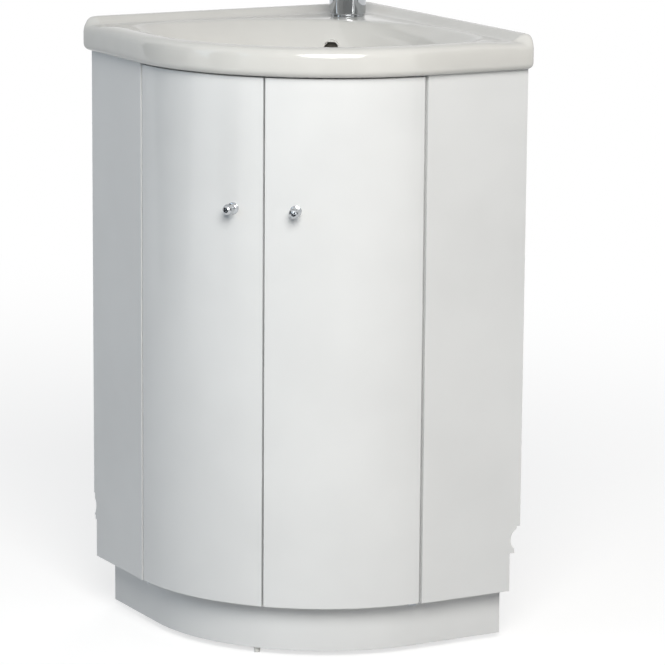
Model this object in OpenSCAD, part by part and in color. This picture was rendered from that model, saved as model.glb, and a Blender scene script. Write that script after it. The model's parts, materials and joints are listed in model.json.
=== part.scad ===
// Corner vanity unit: a quarter-round cabinet with two curved doors under a
// ceramic corner basin, with its mixer tap, click waste and bottle trap.
// Pieces are drawn from the room corner (walls on X = 0 and Y = 0, the unit in
// -X and -Y, floor on Z = 0) and moved together to the frame's origin.

/* [Plan] */
// Length of the basin along each wall
basin_w = 460; // [440:1:500]
// Depth of the flat side panels, from the wall to the curved front
side_depth = 160; // [150:1:175]
// Distance that the basin stands out beyond the doors
rim_overhang = 14; // [12:1:18]
// Gap between the cabinet and the walls
wall_gap = 2; // [1:0.5:8]

/* [Heights] */
// Gap between the floor and the bottom of the plinth
floor_gap = 8; // [5:1:20]
// Height of the plinth
plinth_h = 63; // [50:1:90]
// Gap between the plinth and the base panel
plinth_top_gap = 3; // [2.5:0.5:5]
// Height of the carcass, from the base panel to the basin
carcass_h = 732; // [680:1:800]
// Height of the basin rim
rim_h = 36; // [32:1:44]
// Height of the ridge along the walls, above the rim
upstand_h = 10; // [6:1:16]

/* [Boards] */
// Thickness of the carcass boards
board_t = 18; // [15:1:20]
// Thickness of the curved doors
door_t = 18; // [16:1:20]
// Gap between doors, and between a door and a side panel
door_gap = 3; // [2:0.5:4]
// Gap between the top of a door and the basin
door_top_gap = 4; // [4:0.5:6]
// Gap between the bottom of a door and the pivot plate below it
door_bottom_gap = 1; // [1:0.5:2]
// Gap between the back of a door and the carcass edge that it closes on
door_back_gap = 2.5; // [2.3:0.1:3.5]
// Thickness of the curved rail over the doors
rail_t = 12; // [10:1:13]
// Height of the curved rail over the doors
rail_h = 40; // [30:1:60]
// Gap between the basin and the curved rail
rail_top_gap = 8; // [6:1:20]
// Height of the upper wall rails
upper_rail_h = 90; // [70:1:120]
// Height of the lower wall rails
lower_rail_h = 60; // [40:1:90]
// Side of the square post in the room corner
post_w = 30; // [25:1:36]
// Width of the stiles behind the ends of the side panels
stile_w = 20; // [18:1:24]
// Depth of the stiles
stile_d = 28; // [24:1:36]
// Height of the shelf above the base panel
shelf_z = 308; // [200:1:380]
// Set-back of the shelf edge from the doors
shelf_back = 33; // [26:1:60]
// Diameter of the wall-fixing holes
wall_hole_d = 6; // [4:0.5:8]
// Distance of the first wall-fixing hole from the room corner
wall_hole_x = 110; // [90:1:150]
// Distance between the two wall-fixing holes of a rail
wall_hole_pitch = 220; // [180:1:260]

/* [Plinth and feet] */
// Set-back of the plinth from the doors
plinth_back = 25; // [15:1:40]
// Thickness of the plinth board
plinth_t = 16; // [12:1:18]
// Gap between the ends of the plinth and the walls
plinth_end_gap = 18; // [10:1:30]
// Depth cut out of the right side panel for a skirting board
scribe_right = 16; // [6:1:22]
// Depth cut out of the left side panel for a skirting board
scribe_left = 8; // [6:1:22]
// Height of the plain part of the skirting cut above the panel's foot
scribe_h = 54; // [30:1:80]
// Radius of the round moulding of the skirting board
scribe_r = 17; // [10:1:20]
// Diameter of the pads of the levelling legs
leg_pad_d = 45; // [35:1:50]
// Diameter of the stems of the levelling legs
leg_stem_d = 20; // [14:1:24]
// Diameter of the small glide under the plinth
glide_d = 10; // [8:1:14]

/* [Door fittings] */
// Distance from the hinge edge of a door to its pivot
pivot_in = 8; // [7:0.5:8.5]
// Diameter of the pivot pins
pivot_pin_d = 6; // [5:0.5:6.5]
// Outer diameter of the pivot bushes
bush_d = 10; // [9:0.5:11]
// Length of the pivot bushes
bush_l = 14; // [10:1:20]
// Thickness of the pivot plates
plate_t = 2; // [1.5:0.25:2]
// Radial clearance of the running fits
run_fit = 0.05; // [0.02:0.01:0.1]
// Height of the knobs above the foot of the doors
knob_z = 549; // [450:1:600]
// Distance of each knob from the line between the doors, along the curve
knob_in = 44; // [35:1:60]
// Diameter of the knob balls
knob_d = 15; // [12:0.5:20]
// Diameter of the discs under the knobs
knob_rose_d = 16; // [12:0.5:24]
// Length of a knob from the door to the centre of its ball
knob_reach = 16; // [13:0.5:22]

/* [Basin] */
// Distance of the waste in front of the middle of the basin, on both sides
waste_forward = 5; // [0:1:10]
// Width of the rim in front of the bowl
rim_front = 17; // [15:1:30]
// Width of the rim at the two sides of the bowl
rim_side = 37; // [34:1:50]
// Width of the rim between the bowl and the walls
rim_wall = 33; // [31:1:50]
// Distance from the room corner to the bowl's edge behind the overflow
tap_ledge = 154; // [148:1:170]
// Height of the rolled edge of the rim above the tap ledge
rim_crest = 2.5; // [0:0.5:4]
// Depth of the bowl
bowl_depth = 140; // [110:1:160]
// Thickness of the ceramic
ceramic_t = 12; // [10:1:14]
// Thickness of the ledge that the tap stands on
ledge_t = 16; // [14:1:18]
// Diameter of the overflow hole
overflow_d = 22; // [16:1:26]
// Depth of the overflow hole's centre below the rim
overflow_z = 39; // [30:1:50]
// Diameter of the tap hole
tap_hole_d = 35; // [33:1:38]
// Distance of the tap from each wall
tap_c = 79; // [76:1:85]
// Diameter of the waste hole
waste_hole_d = 45; // [44:1:48]

/* [Tap] */
// Diameter of the tap body at its foot
tap_d = 52; // [46:1:54]
// Height of the tap body
tap_h = 92; // [80:1:110]
// Height of the ring under the tap body
tap_ring_h = 4; // [3:0.5:6]
// Reach of the spout from the tap's axis to the outlet
spout_reach = 108; // [90:1:125]
// Length of the lever from the tap's axis
lever_reach = 96; // [80:1:110]
// Diameter of the aerator
aerator_d = 22; // [18:1:24]
// Radius of the domed top under the lever
dome_r = 23; // [21:0.5:24]
// Diameter of the turning spindle
spindle_d = 20; // [16:1:22]

/* [Waste and trap] */
// Outer diameter of the waste body
waste_d = 41; // [38:0.5:42]
// Diameter of the waste flange
waste_flange_d = 62; // [58:1:68]
// Length of the waste body below the bowl
waste_l = 72; // [65:1:90]
// Outer diameter of the trap bottle
trap_d = 58; // [54:1:64]
// Height of the trap bottle
trap_h = 92; // [80:1:110]
// Wall of the trap bottle
trap_t = 2.5; // [2:0.5:3]
// Outer diameter of the outlet pipe
pipe_d = 32; // [28:1:34]

/* [Hidden] */
$fn = 72;
eps = 0.5;

cab_w = basin_w - rim_overhang;
front_r = cab_w - side_depth;
base_z = floor_gap + plinth_h + plinth_top_gap;
under_z = base_z + carcass_h;
rim_z = under_z + rim_h;
base_top = base_z + board_t;
carcass_r = front_r - door_t - door_back_gap;
side_in = cab_w - board_t;
panel_end = side_depth - door_gap / 2;

// Doors: their hinge edge is a nose that turns about the pivot
door_in_r = front_r - door_t;
door_edge = side_depth + door_gap / 2;
door_z0 = base_z + door_bottom_gap;
door_z1 = under_z - door_top_gap;
pivot_x = cab_w - door_t / 2;
pivot_y = door_edge + pivot_in;
nose_r = pivot_in + door_gap - 0.4;
split_a = asin(door_gap / 2 / front_r);
knob_a = 225 - knob_in / front_r * 180 / PI;
knob_hole_d = 4.5;
knob_seat = 0.3;
knob_screw_d = 4;
knob_thread_l = 8;

plate_z1 = under_z - plate_t - 0.5;
plate_z0 = base_z - plate_t;
collar_d = 9;
screw_d = 3.5;
screw_head_d = 7;
screw_l = 14;
tongue_r = 6.5;
plate_screw_at = [[side_in - stile_w / 2, panel_end - 8],
                  [side_in - stile_w / 2, panel_end - 20]];

// The post, the base and the lower rails stand forward of the skirting board
inner_back = wall_gap + board_t;
post_front = inner_back + post_w;

rail_z1 = under_z - rail_top_gap;
rail_z0 = rail_z1 - rail_h;
shelf_r = front_r - shelf_back - door_t;
shelf_z0 = base_top + shelf_z;
shelf_clear = 1;
pin_d = 5;
pin_out = 9;
pin_in = 9;
pin_pitch = 32;
pin_shares = [0.28, 0.69];
pin_stub_d = pin_d + 3;
dowel_d = 8;
dowel_l = 28;
dowel_in = 11;
wall_hole_z = under_z - upper_rail_h / 2;

plinth_r = front_r - plinth_back;
plinth_z1 = base_z - plinth_top_gap;
plinth_in = plinth_r - plinth_t;
block_w = 20;
block_h = 32;
block_l = 40;
block_end_gap = 10;
block_a = 210;
block_span = 8;
glide_a = 221;
leg_near = side_depth * 0.47;
leg_far = side_depth + plinth_in - leg_pad_d * 0.71;
leg_mid = side_depth + plinth_in * 0.58;
leg_xy = [[leg_near, leg_near], [leg_far, leg_near], [leg_near, leg_far], [leg_mid, leg_mid]];
leg_socket_d = leg_stem_d + 8;
leg_socket_h = 42;
leg_flange_d = leg_pad_d + 3;
leg_flange_t = 6;
leg_pad_h = 6;

magnet_a = 3.2;
magnet_span = 5.5;
magnet_h = 12;
magnet_z1 = rail_z0;
strike_t = 1.5;
strike_gap = 0.4;
buffer_a = 4;
buffer_span = 1.8;
buffer_h = 8;
buffer_gap = 0.3;

// ---------------------------------------------------------------- helpers

// Moves the room corner from the origin to its place in the frame
module in_corner() translate([basin_w / 2, basin_w / 2, 0]) children();

// The right-hand copy of a left-hand piece, across the unit's diagonal
module right_hand() mirror([1, -1, 0]) children();

// A board between two corners, x and y counted from the walls
module board(x0, x1, y0, y1, z0, z1)
    translate([-x1, -y1, z0]) cube([x1 - x0, y1 - y0, z1 - z0]);

// A curved board about the front's centre, from angle a0 to a1
module arc_board(r0, r1, a0, a1, z0, z1)
    translate([-side_depth, -side_depth, z0])
        rotate([0, 0, a0]) rotate_extrude(angle = a1 - a0, $fn = 144)
            translate([r0, 0]) square([r1 - r0, z1 - z0]);

// Places a radial fitting on the curved front, its X axis outwards
module on_front(a, z)
    translate([-side_depth, -side_depth, z]) rotate([0, 0, a]) children();

// The floor plan of a board that fills the carcass, with its curved front
module plan_board(side, end, back, r, z0, z1) {
    board(back, side, back, end, z0, z1);
    board(back, end, back, side, z0, z1);
    intersection() {
        translate([-side_depth, -side_depth, z0]) cylinder(r = r, h = z1 - z0, $fn = 144);
        board(back, side, back, side, z0, z1);
    }
}

// ---------------------------------------------------------------- carcass

// The end that stands on the wall is cut round the skirting board: plain board,
// cove, round moulding and a small step above it
module skirting_cut(scribe) {
    moulding_z = base_z + scribe_h + scribe_r + 2;
    for (step = [[scribe, base_z - eps, base_z + scribe_h],
                 [scribe * 0.55, base_z + scribe_h - eps, base_z + scribe_h + 6],
                 [scribe * 0.35, moulding_z, moulding_z + scribe_r + 2]])
        board(side_in - eps, cab_w + eps, 0, wall_gap + step[0], step[1], step[2]);
    translate([-cab_w - eps, -wall_gap - scribe + 1 + scribe_r, moulding_z])
        rotate([0, 90, 0]) cylinder(r = scribe_r, h = board_t + 2 * eps);
}

module side_panel(scribe)
    difference() {
        board(side_in, cab_w, wall_gap, panel_end, base_z, under_z);
        skirting_cut(scribe);
        dowel_holes();
        for (dz = [-pin_pitch, 0, pin_pitch]) at_side_pins(dz) pin_hole();
    }

module left_side_panel() { color("whitesmoke") side_panel(scribe_left); }
module right_side_panel() { color("whitesmoke") right_hand() side_panel(scribe_right); }

module stile()
    difference() {
        board(side_in - stile_w, side_in, panel_end - stile_d, panel_end, base_top, under_z);
        board(side_in - stile_w - eps, side_in + eps, 0, panel_end + eps,
              plate_z1, under_z + eps);
        plate_screw_holes(plate_z1 - screw_l, screw_l + eps);
    }

module left_stile() { color("gainsboro") stile(); }
module right_stile() { color("gainsboro") right_hand() stile(); }

module base_panel()
    color("gainsboro") difference() {
        plan_board(side_in, panel_end, inner_back, carcass_r, base_z, base_top);
        dowel_holes();
        right_hand() dowel_holes();
        plate_screw_holes(base_z - eps, screw_l + eps);
        right_hand() plate_screw_holes(base_z - eps, screw_l + eps);
    }

module front_rail()
    color("gainsboro") {
        arc_board(carcass_r - rail_t, carcass_r, 180, 270, rail_z0, rail_z1);
        for (hand = [0, 1]) mirror([hand, -hand, 0])
            board(side_depth + carcass_r - rail_t, side_depth + carcass_r, panel_end,
                  side_depth, rail_z0, rail_z1);
    }

module corner_post()
    color("gainsboro") difference() {
        board(inner_back, post_front, inner_back, post_front, base_top, under_z);
        for (dz = [-pin_pitch, 0, pin_pitch]) at_post_pin(dz) pin_hole();
    }

module upper_back_rail()
    difference() {
        board(inner_back, side_in, wall_gap, inner_back, under_z - upper_rail_h, under_z);
        for (i = [0, 1])
            translate([-wall_hole_x - i * wall_hole_pitch, 0, wall_hole_z])
                rotate([90, 0, 0]) cylinder(d = wall_hole_d, h = 60, center = true);
        dowel_holes();
    }

module upper_back_rails()
    color("gainsboro") { upper_back_rail(); right_hand() upper_back_rail(); }

module lower_back_rail()
    board(post_front, side_in, inner_back, inner_back + board_t, base_top,
          base_top + lower_rail_h);

module lower_back_rails()
    color("gainsboro") { lower_back_rail(); right_hand() lower_back_rail(); }

// Dowels from the side panel into the base panel and the upper back rail
dowel_at = [[side_depth * 0.28, base_z + board_t / 2], [side_depth * 0.72, base_z + board_t / 2],
            [wall_gap + board_t / 2, under_z - upper_rail_h * 0.75],
            [wall_gap + board_t / 2, under_z - upper_rail_h * 0.25]];

module dowel_row(d, spare)
    for (p = dowel_at)
        translate([-side_in - dowel_in - spare, -p[0], p[1]])
            rotate([0, 90, 0]) cylinder(d = d, h = dowel_l + 2 * spare);

module dowel_holes() dowel_row(dowel_d + 2 * run_fit, 0.5);

module carcass_dowels()
    color("burlywood") { dowel_row(dowel_d, 0); right_hand() dowel_row(dowel_d, 0); }

// The shelf stands clear of the stiles, the wall rails and the corner post
module shelf() {
    back = inner_back + shelf_clear;
    notch = post_front + shelf_clear;
    color("gainsboro") difference() {
        plan_board(side_in - shelf_clear, panel_end - stile_d - shelf_clear, back, shelf_r,
                   shelf_z0, shelf_z0 + board_t);
        board(0, notch, 0, notch, shelf_z0 - eps, shelf_z0 + board_t + eps);
    }
}

// Places a shelf support: two on each side panel, or the one on the post
pin_axis_z = shelf_z0 - pin_d / 2;
module at_side_pins(dz = 0)
    for (share = pin_shares)
        translate([-side_in, -side_depth * share, pin_axis_z + dz]) children();
module at_post_pin(dz = 0)
    translate([-inner_back - post_w / 2, -post_front, pin_axis_z + dz])
        rotate([0, 0, -90]) children();

// A plug in its hole and a wider stub, flat on top under the shelf
module shelf_pin()
    rotate([0, 90, 0]) difference() {
        union() {
            translate([0, 0, -pin_in]) cylinder(d = pin_d, h = pin_in);
            cylinder(d = pin_stub_d, h = pin_out);
        }
        translate([-pin_d / 2 - pin_stub_d, -pin_stub_d, -eps])
            cube([pin_stub_d, 2 * pin_stub_d, pin_out + 1]);
    }

module shelf_pins()
    color("silver") {
        for (hand = [0, 1]) mirror([hand, -hand, 0]) at_side_pins() shelf_pin();
        at_post_pin() shelf_pin();
    }

module pin_hole() translate([-pin_in, 0, 0]) rotate([0, 90, 0])
    cylinder(d = pin_d, h = pin_in + eps);

// ---------------------------------------------------------------- plinth and feet

module plinth_return()
    board(side_depth + plinth_in, side_depth + plinth_r, plinth_end_gap, side_depth,
          floor_gap, plinth_z1);

module plinth()
    color("whitesmoke") {
        arc_board(plinth_in, plinth_r, 180, 270, floor_gap, plinth_z1);
        plinth_return();
        right_hand() plinth_return();
    }

module plinth_blocks()
    color("burlywood") for (hand = [0, 1]) mirror([hand, -hand, 0]) {
        board(side_depth + plinth_in - block_w, side_depth + plinth_in,
              side_depth - block_end_gap - block_l, side_depth - block_end_gap,
              base_z - block_h, base_z);
        arc_board(plinth_in - block_w, plinth_in, block_a - block_span / 2,
                  block_a + block_span / 2, base_z - block_h, base_z);
    }

module plinth_glide()
    color("white") on_front(glide_a, 0) translate([plinth_r - plinth_t / 2, 0, 0])
        cylinder(d1 = glide_d - 2, d2 = glide_d, h = floor_gap);

module leg_sockets()
    color("dimgray") for (p = leg_xy) translate([-p[0], -p[1], 0]) difference() {
        union() {
            translate([0, 0, base_z - leg_flange_t]) cylinder(d = leg_flange_d, h = leg_flange_t);
            translate([0, 0, base_z - leg_socket_h]) cylinder(d = leg_socket_d, h = leg_socket_h);
        }
        translate([0, 0, base_z - leg_socket_h - eps])
            cylinder(d = leg_stem_d + 2 * run_fit, h = leg_socket_h - 4);
    }

module leg_feet()
    color("dimgray") for (p = leg_xy) translate([-p[0], -p[1], 0]) {
        cylinder(d1 = leg_pad_d, d2 = leg_pad_d - 4, h = leg_pad_h);
        cylinder(d = leg_stem_d, h = base_z - 2 * leg_pad_h);
    }

// ---------------------------------------------------------------- doors

module door() {
    difference() {
        arc_board(door_in_r, front_r, 179, 225 - split_a, door_z0, door_z1);
        board(side_in - 20, cab_w + 20, 0, door_edge, door_z0 - eps, door_z1 + eps);
        difference() {
            board(side_in - 20, cab_w + 20, 0, pivot_y - pivot_in / 2, door_z0 - eps,
                  door_z1 + eps);
            translate([-pivot_x, -pivot_y, door_z0 - 1])
                cylinder(r = nose_r, h = door_z1 - door_z0 + 2);
        }
        for (z = [door_z0 - eps, door_z1 - bush_l])
            translate([-pivot_x, -pivot_y, z]) cylinder(d = bush_d, h = bush_l + eps);
        on_front(knob_a, door_z0 + knob_z) rotate([0, 90, 0]) {
            translate([0, 0, door_in_r - 5]) cylinder(d = knob_hole_d, h = door_t + 10);
            translate([0, 0, front_r - knob_seat]) cylinder(d = knob_rose_d, h = 5);
            translate([0, 0, door_in_r - 5]) cylinder(d = 8, h = 5 + knob_seat);
        }
    }
}

// A turned ball knob: disc, waisted neck and ball, with a blind screw hole
module knob()
    on_front(knob_a, door_z0 + knob_z) translate([front_r, 0, 0]) rotate([0, 90, 0])
        difference() {
            union() {
                translate([0, 0, -knob_seat]) cylinder(d = knob_rose_d, h = 1.5 + knob_seat);
                cylinder(d1 = knob_rose_d - 3, d2 = knob_d / 2, h = 5);
                cylinder(d = knob_d / 2, h = knob_reach);
                translate([0, 0, knob_reach]) sphere(d = knob_d);
            }
            translate([0, 0, -1]) cylinder(d = knob_screw_d, h = knob_thread_l + 1);
        }

module knob_screw()
    on_front(knob_a, door_z0 + knob_z) rotate([0, 90, 0]) {
        translate([0, 0, door_in_r + knob_seat - 2]) cylinder(d = 8, h = 2);
        translate([0, 0, door_in_r]) cylinder(d = knob_screw_d, h = door_t + knob_thread_l - 1);
    }

module pivot_bushes()
    for (z = [door_z0, door_z1 - bush_l])
        translate([-pivot_x, -pivot_y, z]) difference() {
            cylinder(d = bush_d, h = bush_l);
            translate([0, 0, -eps]) cylinder(d = pivot_pin_d + 2 * run_fit,
                                             h = bush_l + 2 * eps);
        }

module strike_plate()
    arc_board(door_in_r - strike_t, door_in_r, 225 - magnet_a - magnet_span,
              225 - magnet_a, magnet_z1 - magnet_h, magnet_z1);

module buffers()
    for (z = [base_z + 5, rail_z0 + 12])
        arc_board(carcass_r + buffer_gap, door_in_r, 225 - buffer_a - buffer_span,
                  225 - buffer_a, z, z + buffer_h);

module left_door() { color("white") door(); }
module left_knob() { color("silver") knob(); }
module left_knob_screw() { color("gray") knob_screw(); }
module left_pivot_bushes() { color("ivory") pivot_bushes(); }
module left_strike_plate() { color("silver") strike_plate(); }
module left_buffers() { color("lightgray") buffers(); }
module right_door() { color("white") right_hand() door(); }
module right_knob() { color("silver") right_hand() knob(); }
module right_knob_screw() { color("gray") right_hand() knob_screw(); }
module right_pivot_bushes() { color("ivory") right_hand() pivot_bushes(); }
module right_strike_plate() { color("silver") right_hand() strike_plate(); }
module right_buffers() { color("lightgray") right_hand() buffers(); }

// ---------------------------------------------------------------- pivots and catches

// A flat steel plate with a tongue that reaches round the panel's end
module pivot_plate(z, head)
    difference() {
        union() {
            board(side_in - stile_w + 2, side_in - 1, panel_end - stile_d + 2, pivot_y + 3, z,
                  z + plate_t);
            board(side_in - stile_w + 2, pivot_x, pivot_y - tongue_r, pivot_y + tongue_r, z,
                  z + plate_t);
            translate([-pivot_x, -pivot_y, z]) cylinder(r = tongue_r, h = plate_t);
        }
        translate([-pivot_x, -pivot_y, z - eps])
            cylinder(d = pivot_pin_d, h = plate_t + 2 * eps);
        for (p = plate_screw_at) translate([-p[0], -p[1], z + plate_t / 2])
            mirror([0, 0, head]) translate([0, 0, -plate_t / 2]) screw_head();
    }

// A countersunk head that is flush with its plate
module screw_head() cylinder(d1 = screw_head_d, d2 = screw_d, h = plate_t);

module plate_screw_holes(z, h)
    for (p = plate_screw_at) translate([-p[0], -p[1], z]) cylinder(d = screw_d, h = h);

module pivot_plates()
    color("silver") for (hand = [0, 1]) mirror([hand, -hand, 0]) {
        pivot_plate(plate_z0, 0);
        pivot_plate(plate_z1, 1);
    }

// Pins riveted in the plates, each with a collar that the door runs on
module pivot_pins()
    color("gray") for (hand = [0, 1]) mirror([hand, -hand, 0])
        translate([-pivot_x, -pivot_y, 0]) {
            translate([0, 0, plate_z0]) cylinder(d = pivot_pin_d,
                                                 h = plate_t + door_bottom_gap + bush_l - 2);
            translate([0, 0, base_z]) cylinder(d = collar_d, h = door_bottom_gap);
            translate([0, 0, door_z1 - bush_l + 2])
                cylinder(d = pivot_pin_d, h = plate_z1 + plate_t - door_z1 + bush_l - 2);
            translate([0, 0, plate_z1 - 1]) cylinder(d = collar_d, h = 1);
        }

module pivot_plate_screws()
    color("gray") for (hand = [0, 1]) mirror([hand, -hand, 0]) for (p = plate_screw_at)
        translate([-p[0], -p[1], 0]) {
            translate([0, 0, plate_z0]) { screw_head(); cylinder(d = screw_d, h = screw_l); }
            translate([0, 0, plate_z1 + plate_t]) mirror([0, 0, 1]) {
                screw_head();
                cylinder(d = screw_d, h = screw_l);
            }
        }

module catch_magnets()
    color("white") for (hand = [0, 1]) mirror([hand, -hand, 0])
        arc_board(carcass_r - rail_t, door_in_r - strike_t - strike_gap,
                  225 - magnet_a - magnet_span, 225 - magnet_a, magnet_z1 - magnet_h,
                  magnet_z1);

// ---------------------------------------------------------------- basin
// The basin is one loft: rings of stations round the bowl's centre, each ring
// at its own inset and height. Station angle 0 looks out along the diagonal.

function dir(a) = [cos(225 + a), sin(225 + a)];
function dot(a, b) = a[0] * b[0] + a[1] * b[1];
bowl_c = basin_w / 2 + waste_forward;
bowl_at = [-bowl_c, -bowl_c];
arc_at = [-side_depth, -side_depth];
rim_r = basin_w - side_depth;

// Station angle of the corner where the basin's end meets the wall
end_a = 225 - atan2(bowl_c, bowl_c - basin_w);
front_n = 40;
wall_n = 10;
stations = [for (i = [0 : front_n - 1]) -end_a + 2 * end_a * i / front_n,
            for (i = [0 : 2 * wall_n - 1]) end_a + (360 - 2 * end_a) * i / (2 * wall_n)];
station_n = len(stations);
function is_end(a) = abs(abs(a) - end_a) < 0.01;
function is_front(a) = a < end_a + 0.01;
function is_wall(a) = a > end_a - 0.01 || is_end(a);

// Distance from the bowl's centre to the basin's outline: the nearest wall or
// end plane along the ray, or the front arc where that is nearer
function far(c, d) = c > 1e-6 ? d / c : 1e6;
function square_r(u) = min(far(u[0], bowl_c), far(u[1], bowl_c),
                           far(-u[0], basin_w - bowl_c), far(-u[1], basin_w - bowl_c));
function arc_r(u) = let (m = bowl_at - arc_at, b = dot(m, u))
    -b + sqrt(b * b - dot(m, m) + rim_r * rim_r);
function in_quarter(p) = p[0] < -side_depth && p[1] < -side_depth;
function outline_r(a) = let (u = dir(a), r = square_r(u))
    in_quarter(bowl_at + r * u) ? min(r, arc_r(u)) : r;
function outline(a) = bowl_at + outline_r(a) * dir(a);

// Inward directions of the front face and of the walls at a station
function front_in(a) = !is_front(a) ? [0, 0]
    : let (p = outline(a)) in_quarter(p) ? (arc_at - p) / norm(arc_at - p)
    : p[0] < p[1] ? [1, 0] : [0, 1];
function wall_in(a) = !is_wall(a) ? [0, 0]
    : let (p = outline(a)) [p[0] > -0.01 ? -1 : 0, p[1] > -0.01 ? -1 : 0];

// The bowl's edge is a rounded hexagon: its edge lines, blended by a power mean
blend = 6;
bowl_front = rim_r - (bowl_c - side_depth) * sqrt(2) - rim_front;
bowl_side = basin_w - bowl_c - rim_side;
bowl_wall = bowl_c - rim_wall;
bowl_ledge = bowl_c * sqrt(2) - tap_ledge;
edges = [[0, bowl_front], [45, bowl_side], [-45, bowl_side], [135, bowl_wall],
         [-135, bowl_wall], [180, bowl_ledge]];
function edge_pull(a, e) = pow(max(0, cos(a - e[0])) / e[1], blend);
function bowl_r(a) = pow(edge_pull(a, edges[0]) + edge_pull(a, edges[1])
    + edge_pull(a, edges[2]) + edge_pull(a, edges[3]) + edge_pull(a, edges[4])
    + edge_pull(a, edges[5]), -1 / blend);

// Height of the top surface: flat, with a soft ridge along the walls
ridge_flat = 6;
ridge_run = 22;
function ease(t) = let (s = min(1, max(0, t))) s * s * (3 - 2 * s);
function wall_gap_of(p) = min(-p[0], -p[1]);
function top_z(p) = rim_h + upstand_h
    * (1 - ease((wall_gap_of(p) - ridge_flat) / ridge_run));

// Extra height of the rolled edge, from the outline (share 0) to the bowl (1)
crest_fade = 50;
function crest_z(a, share) = !is_front(a) ? 0 : let (p = outline(a))
    rim_crest * ease((wall_gap_of(p) - ridge_run) / crest_fade) * (1 - ease(share));

// Outer face: inset and height under its widest point, then inset and share of
// the rise to the top surface
bulge_z = 18;
face_low = [[16, 0], [9, 1], [4, 4.5], [1, 10], [0, bulge_z]];
face_high = [[0, 0.35], [1.5, 0.62], [5, 0.84], [10, 0.95], [17, 1]];
top_inset = face_high[len(face_high) - 1][0];
skirt_inset = 26;
roof_z = rim_h - ledge_t;

// Bowl wall: share of the way to the centre, and share of the depth
bowl_wall_rings = [[0.015, 0.012], [0.04, 0.035], [0.09, 0.085], [0.16, 0.165],
    [0.25, 0.28], [0.34, 0.42], [0.43, 0.56], [0.52, 0.7], [0.61, 0.82], [0.7, 0.915],
    [0.78, 0.97]];
bowl_floor_r = waste_hole_d / 2 + 11;
outer_rings = [for (i = [2 : len(bowl_wall_rings) - 1]) bowl_wall_rings[i]];
bowl_z = rim_h - bowl_depth;

function flat3(p, z) = [p[0], p[1], z];
function face_point(a, s) = outline(a) + front_in(a) * s;
function face_rise(a, s) = let (t = face_point(a, top_inset))
    bulge_z + (top_z(t) + crest_z(a, 0) - bulge_z) * s;
function bowl_point(a, share) = bowl_at + dir(a) * bowl_r(a) * (1 - share);
function skirt(a) = outline(a) + front_in(a) * skirt_inset + wall_in(a) * ceramic_t;
function skirt_r(a) = dot(skirt(a) - bowl_at, dir(a));
function shell_point(a, share, i) = bowl_at
    + dir(a) * min(bowl_r(a) * (1 - share) + ceramic_t - 1, skirt_r(a) - 2 - 1.5 * i);
function top_point(a, t) = let (o = face_point(a, top_inset), b = bowl_point(a, 0))
    o + (b - o) * t;

basin_rings = concat(
    [[for (a = stations) flat3(bowl_at + dir(a) * bowl_floor_r, bowl_z)]],
    [for (i = [len(bowl_wall_rings) - 1 : -1 : 0]) let (w = bowl_wall_rings[i])
        [for (a = stations) flat3(bowl_point(a, w[0]), rim_h - bowl_depth * w[1])]],
    [for (t = [1, 0.82, 0.6, 0.42, 0.26, 0.12]) [for (a = stations)
        let (p = top_point(a, t)) flat3(p, t == 1 ? rim_h : top_z(p) + crest_z(a, t))]],
    [for (i = [len(face_high) - 1 : -1 : 0]) let (f = face_high[i])
        [for (a = stations) flat3(face_point(a, f[0]), face_rise(a, f[1]))]],
    [for (i = [len(face_low) - 1 : -1 : 0]) let (f = face_low[i])
        [for (a = stations) flat3(face_point(a, f[0]), f[1])]],
    [[for (a = stations) flat3(skirt(a), 0)]],
    [[for (a = stations) flat3(skirt(a), roof_z)]],
    [for (i = [0 : len(outer_rings) - 1]) let (w = outer_rings[i]) [for (a = stations)
        flat3(shell_point(a, w[0], i), i == 0 ? roof_z
              : min(roof_z - 1, rim_h - bowl_depth * w[1] - 7 - 5 * w[0]))]],
    [[for (a = stations) flat3(bowl_at + dir(a) * (bowl_floor_r + 4), bowl_z - ceramic_t)]]);

module basin_shell() {
    n = station_n;
    rings = len(basin_rings);
    points = concat([flat3(bowl_at, bowl_z)], [for (r = basin_rings) each r],
                    [flat3(bowl_at, bowl_z - ceramic_t)]);
    last = len(points) - 1;
    faces = concat(
        [for (j = [0 : n - 1]) [0, 1 + (j + 1) % n, 1 + j]],
        [for (k = [0 : rings - 2], j = [0 : n - 1])
            let (p = 1 + k * n + j, q = 1 + k * n + (j + 1) % n) each [[p, q, q + n], [p, q + n, p + n]]],
        [for (j = [0 : n - 1]) [last, last - n + j, last - n + (j + 1) % n]]);
    polyhedron(points, faces, convexity = 10);
}

// Overflow: a pocket behind the hole, and a channel that follows the back of the
// bowl, in the thickness of the ceramic and a rib behind it, down to the waste
run_d = 8;
run_wall = 5;
run_side = 16;
pocket_wall = 3;
waste_seat_d = 74;
run_rings = [for (i = [5 : len(bowl_wall_rings) - 1]) bowl_wall_rings[i]];
way_at_depth = concat([[0, 0]], [for (w = bowl_wall_rings) [w[1], w[0]]]);
overflow_out = bowl_r(180) * (1 - lookup(overflow_z / bowl_depth, way_at_depth));
pocket_end = overflow_out + ceramic_t + 2;

// Points of the bowl's back wall in the plane of the diagonal, [outwards, height],
// and the same points set back into the ceramic
run_depth = ceramic_t / 2 + 2;
back_wall = [for (w = run_rings) [bowl_r(180) * (1 - w[0]), rim_h - bowl_depth * w[1]]];
function set_back(i) = let (k = len(back_wall) - 1,
    t = back_wall[max(i - 1, 0)] - back_wall[min(i + 1, k)], u = t / norm(t))
    back_wall[i] + [u[1], -u[0]] * run_depth;
run_path = concat([[pocket_end - run_d / 2, rim_h - overflow_z]],
    [for (i = [0 : len(back_wall) - 3]) set_back(i)],
    [for (r = [bowl_floor_r + 6, waste_hole_d / 2 - 1]) [r, bowl_z - ceramic_t / 2]]);

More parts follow.
